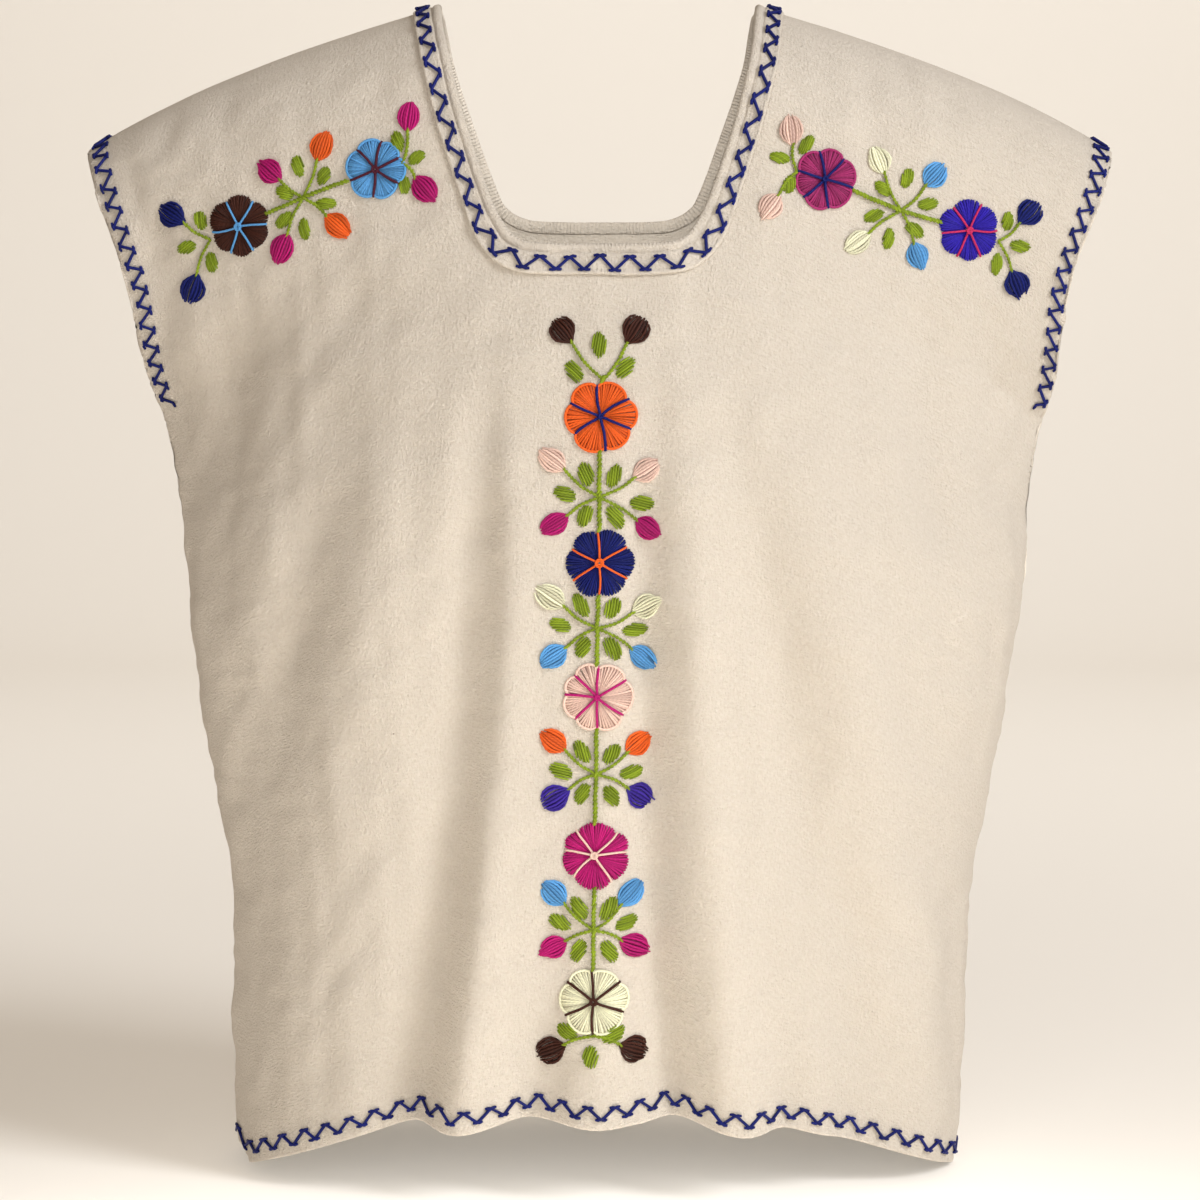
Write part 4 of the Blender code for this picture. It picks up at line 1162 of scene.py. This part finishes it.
def make_threads(name, lines, material, tree):
    """Place the noted lines on the cloth and sweep them."""
    points, edges, thick, tone = [], [], [], []
    for side in (FRONT, BACK):
        chosen = [line for line in lines if line[0] == side]
        if not chosen:
            continue
        q = np.clip(np.concatenate([line[1] for line in chosen]), -1, 1)
        v = np.clip(np.concatenate([line[2] for line in chosen]), 0, 1)
        lift = np.concatenate([line[3] for line in chosen])
        base = sum(len(p) for p in points)
        points.append(surface(q, v, side) + normals(q, v, side) * lift[:, None])
        for _, places, _, _, radii, shade in chosen:
            edges += [(base + i, base + i + 1) for i in range(len(places) - 1)]
            base += len(places)
            thick.extend(radii)
            tone.extend([shade] * len(places))
    mesh = bpy.data.meshes.new(name)
    mesh.from_pydata([tuple(p) for p in np.vstack(points)], edges, [])
    for label, values in (("thick", thick), ("tone", tone)):
        layer = mesh.attributes.new(label, "FLOAT", "POINT")
        layer.data.foreach_set("value", np.array(values, np.float32))
    bare = link(bpy.data.objects.new(name + " lines", mesh))
    modifier = bare.modifiers.new("threads", "NODES")
    modifier.node_group = tree
    set_inputs(modifier, tree, Sides=SIDES, Floss=material)
    depsgraph = bpy.context.evaluated_depsgraph_get()
    made = bpy.data.meshes.new_from_object(bare.evaluated_get(depsgraph))
    bare.modifiers.remove(modifier)
    bpy.data.objects.remove(bare)
    made.name = name
    work = bmesh.new()
    work.from_mesh(made)
    bmesh.ops.recalc_face_normals(work, faces=work.faces)
    work.to_mesh(made)
    work.free()
    print(name, "triangles", sum(len(p.vertices) - 2 for p in made.polygons))
    return link(bpy.data.objects.new(name, made))


tree = thread_tree()
sewing = [make_threads("floss_" + name, lines, floss[name], tree)
          for name, lines in THREADS.items()]

# %% [markdown]
# ## The studio
# The blouse stands on a pale warm sweep under soft light: a large lamp to the right of the camera
# models the folds, one above it brightens the shoulders and one beside the camera opens the
# shadows. Two more light the paper alone, so it stays pale behind the blouse and under its hem,
# and a small one reaches the back's inner side through the neck.

# %% Floor, lamps, surround and camera
FLOOR = -0.6675
BEND_START, BEND = 3.3, 0.9  # metres behind the blouse where the paper turns up, and its radius
paper, paper_tree = new_material("Matt warm paper")  # a pale, even ground with no shine
add(paper_tree, OUTPUT, {"Surface": add(paper_tree, PRINCIPLED, {
    "Base Color": linear("#F3EEE6"), "Roughness": 0.95})})
profile = [(-3.6, 0.0), (BEND_START, 0.0)]
profile += [(BEND_START + BEND * math.sin(a), BEND - BEND * math.cos(a))
            for a in np.linspace(0.1, math.pi / 2, 16)]
profile += [(4.2, 3.6)]
sweep_points = [(x, y, FLOOR + z) for x in (-4.0, 4.0) for y, z in profile]
sweep_faces = [(i, i + 1, i + 1 + len(profile), i + len(profile)) for i in range(len(profile) - 1)]
floor = mesh_object("studio_sweep", sweep_points, sweep_faces)
floor.data.materials.append(paper)
BLOUSE = (0, 0, -0.33)
LAMPS = (  # name, place, width and height, watts, colour, aim
    ("key", (2.2, -1.6, 0.75), (0.9, 1.1), 26.0, (0.97, 1.0, 1.05), BLOUSE),
    ("high", (1.9, -1.5, 1.6), (1.0, 1.2), 41.0, (0.97, 1.0, 1.05), BLOUSE),
    ("front", (-0.4, -2.9, 0.1), (1.6, 1.2), 20.0, (0.98, 1.0, 1.04), BLOUSE),
    ("backdrop", (0.3, 1.5, 2.1), (3.0, 1.5), 44.0, (0.98, 1.0, 1.02), (0.1, 4.2, 0.3)),
    ("under the hem", (0.0, -0.48, -0.42), (0.40, 0.15), 2.8, (1.0, 1.0, 0.98), (0, -0.40, -0.70)),
    ("into the neck", (0.1, -1.3, 0.25), (0.4, 0.3), 16.0, (1.0, 0.99, 0.97), (0, 0.08, -0.13)),
)
lamps = {}
for name, place, size, power, colour, aim in LAMPS:
    light = bpy.data.lights.new(name, "AREA")
    light.shape, light.size, light.size_y = "RECTANGLE", *size
    light.energy, light.color = power, colour
    lamps[name] = item = link(bpy.data.objects.new(name, light))
    item.location = place
    item.rotation_euler = (Vector(aim) - Vector(place)).to_track_quat("-Z", "Y").to_euler()


def lit_alone(name, items):
    """A collection of the only things that a lamp may light."""
    group = bpy.data.collections.new(name)
    for item in items:
        group.objects.link(item)
    return group


paper_only = lit_alone("paper only", [floor])
for name in ("backdrop", "under the hem"):
    lamps[name].light_linking.receiver_collection = paper_only
    lamps[name].light_linking.blocker_collection = paper_only
lamps["into the neck"].light_linking.receiver_collection = lit_alone("back only", [back, back_band])
world = bpy.data.worlds.new("studio")
bpy.context.scene.world = world
world.use_nodes = True
surround = world.node_tree.nodes["Background"]
surround.inputs["Color"].default_value = (1.0, 0.86, 0.71, 1)
surround.inputs["Strength"].default_value = 0.41
bpy.context.scene.view_settings.view_transform = "Standard"

camera = bpy.data.cameras.new("camera")
camera.sensor_width, camera.lens = 36.0, 113.8
eye = link(bpy.data.objects.new("camera", camera))
REACH, LOOK = 2.2, Vector((0.0012, 0.0, -0.341))
tilt = math.radians(4)
eye.location = LOOK + Vector((0, -REACH * math.cos(tilt), REACH * math.sin(tilt)))
eye.rotation_euler = (LOOK - eye.location).to_track_quat("-Z", "Y").to_euler()
bpy.context.scene.camera = eye
print("lamps", len(lamps), "camera", [round(c, 3) for c in eye.location])

# %% [markdown]
# ## Hand over
# Each piece rides on the one rigid body, and the part's own panels and neck bands are hidden, so
# the cloth and its sewing take their place; each piece's material names what it is cut from.

for item in [front, back, front_band, back_band] + sewing:
    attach(item, "root")
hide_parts("front_panel")
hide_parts("back_panel")
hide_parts("neck_band_front")
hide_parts("neck_band_back")
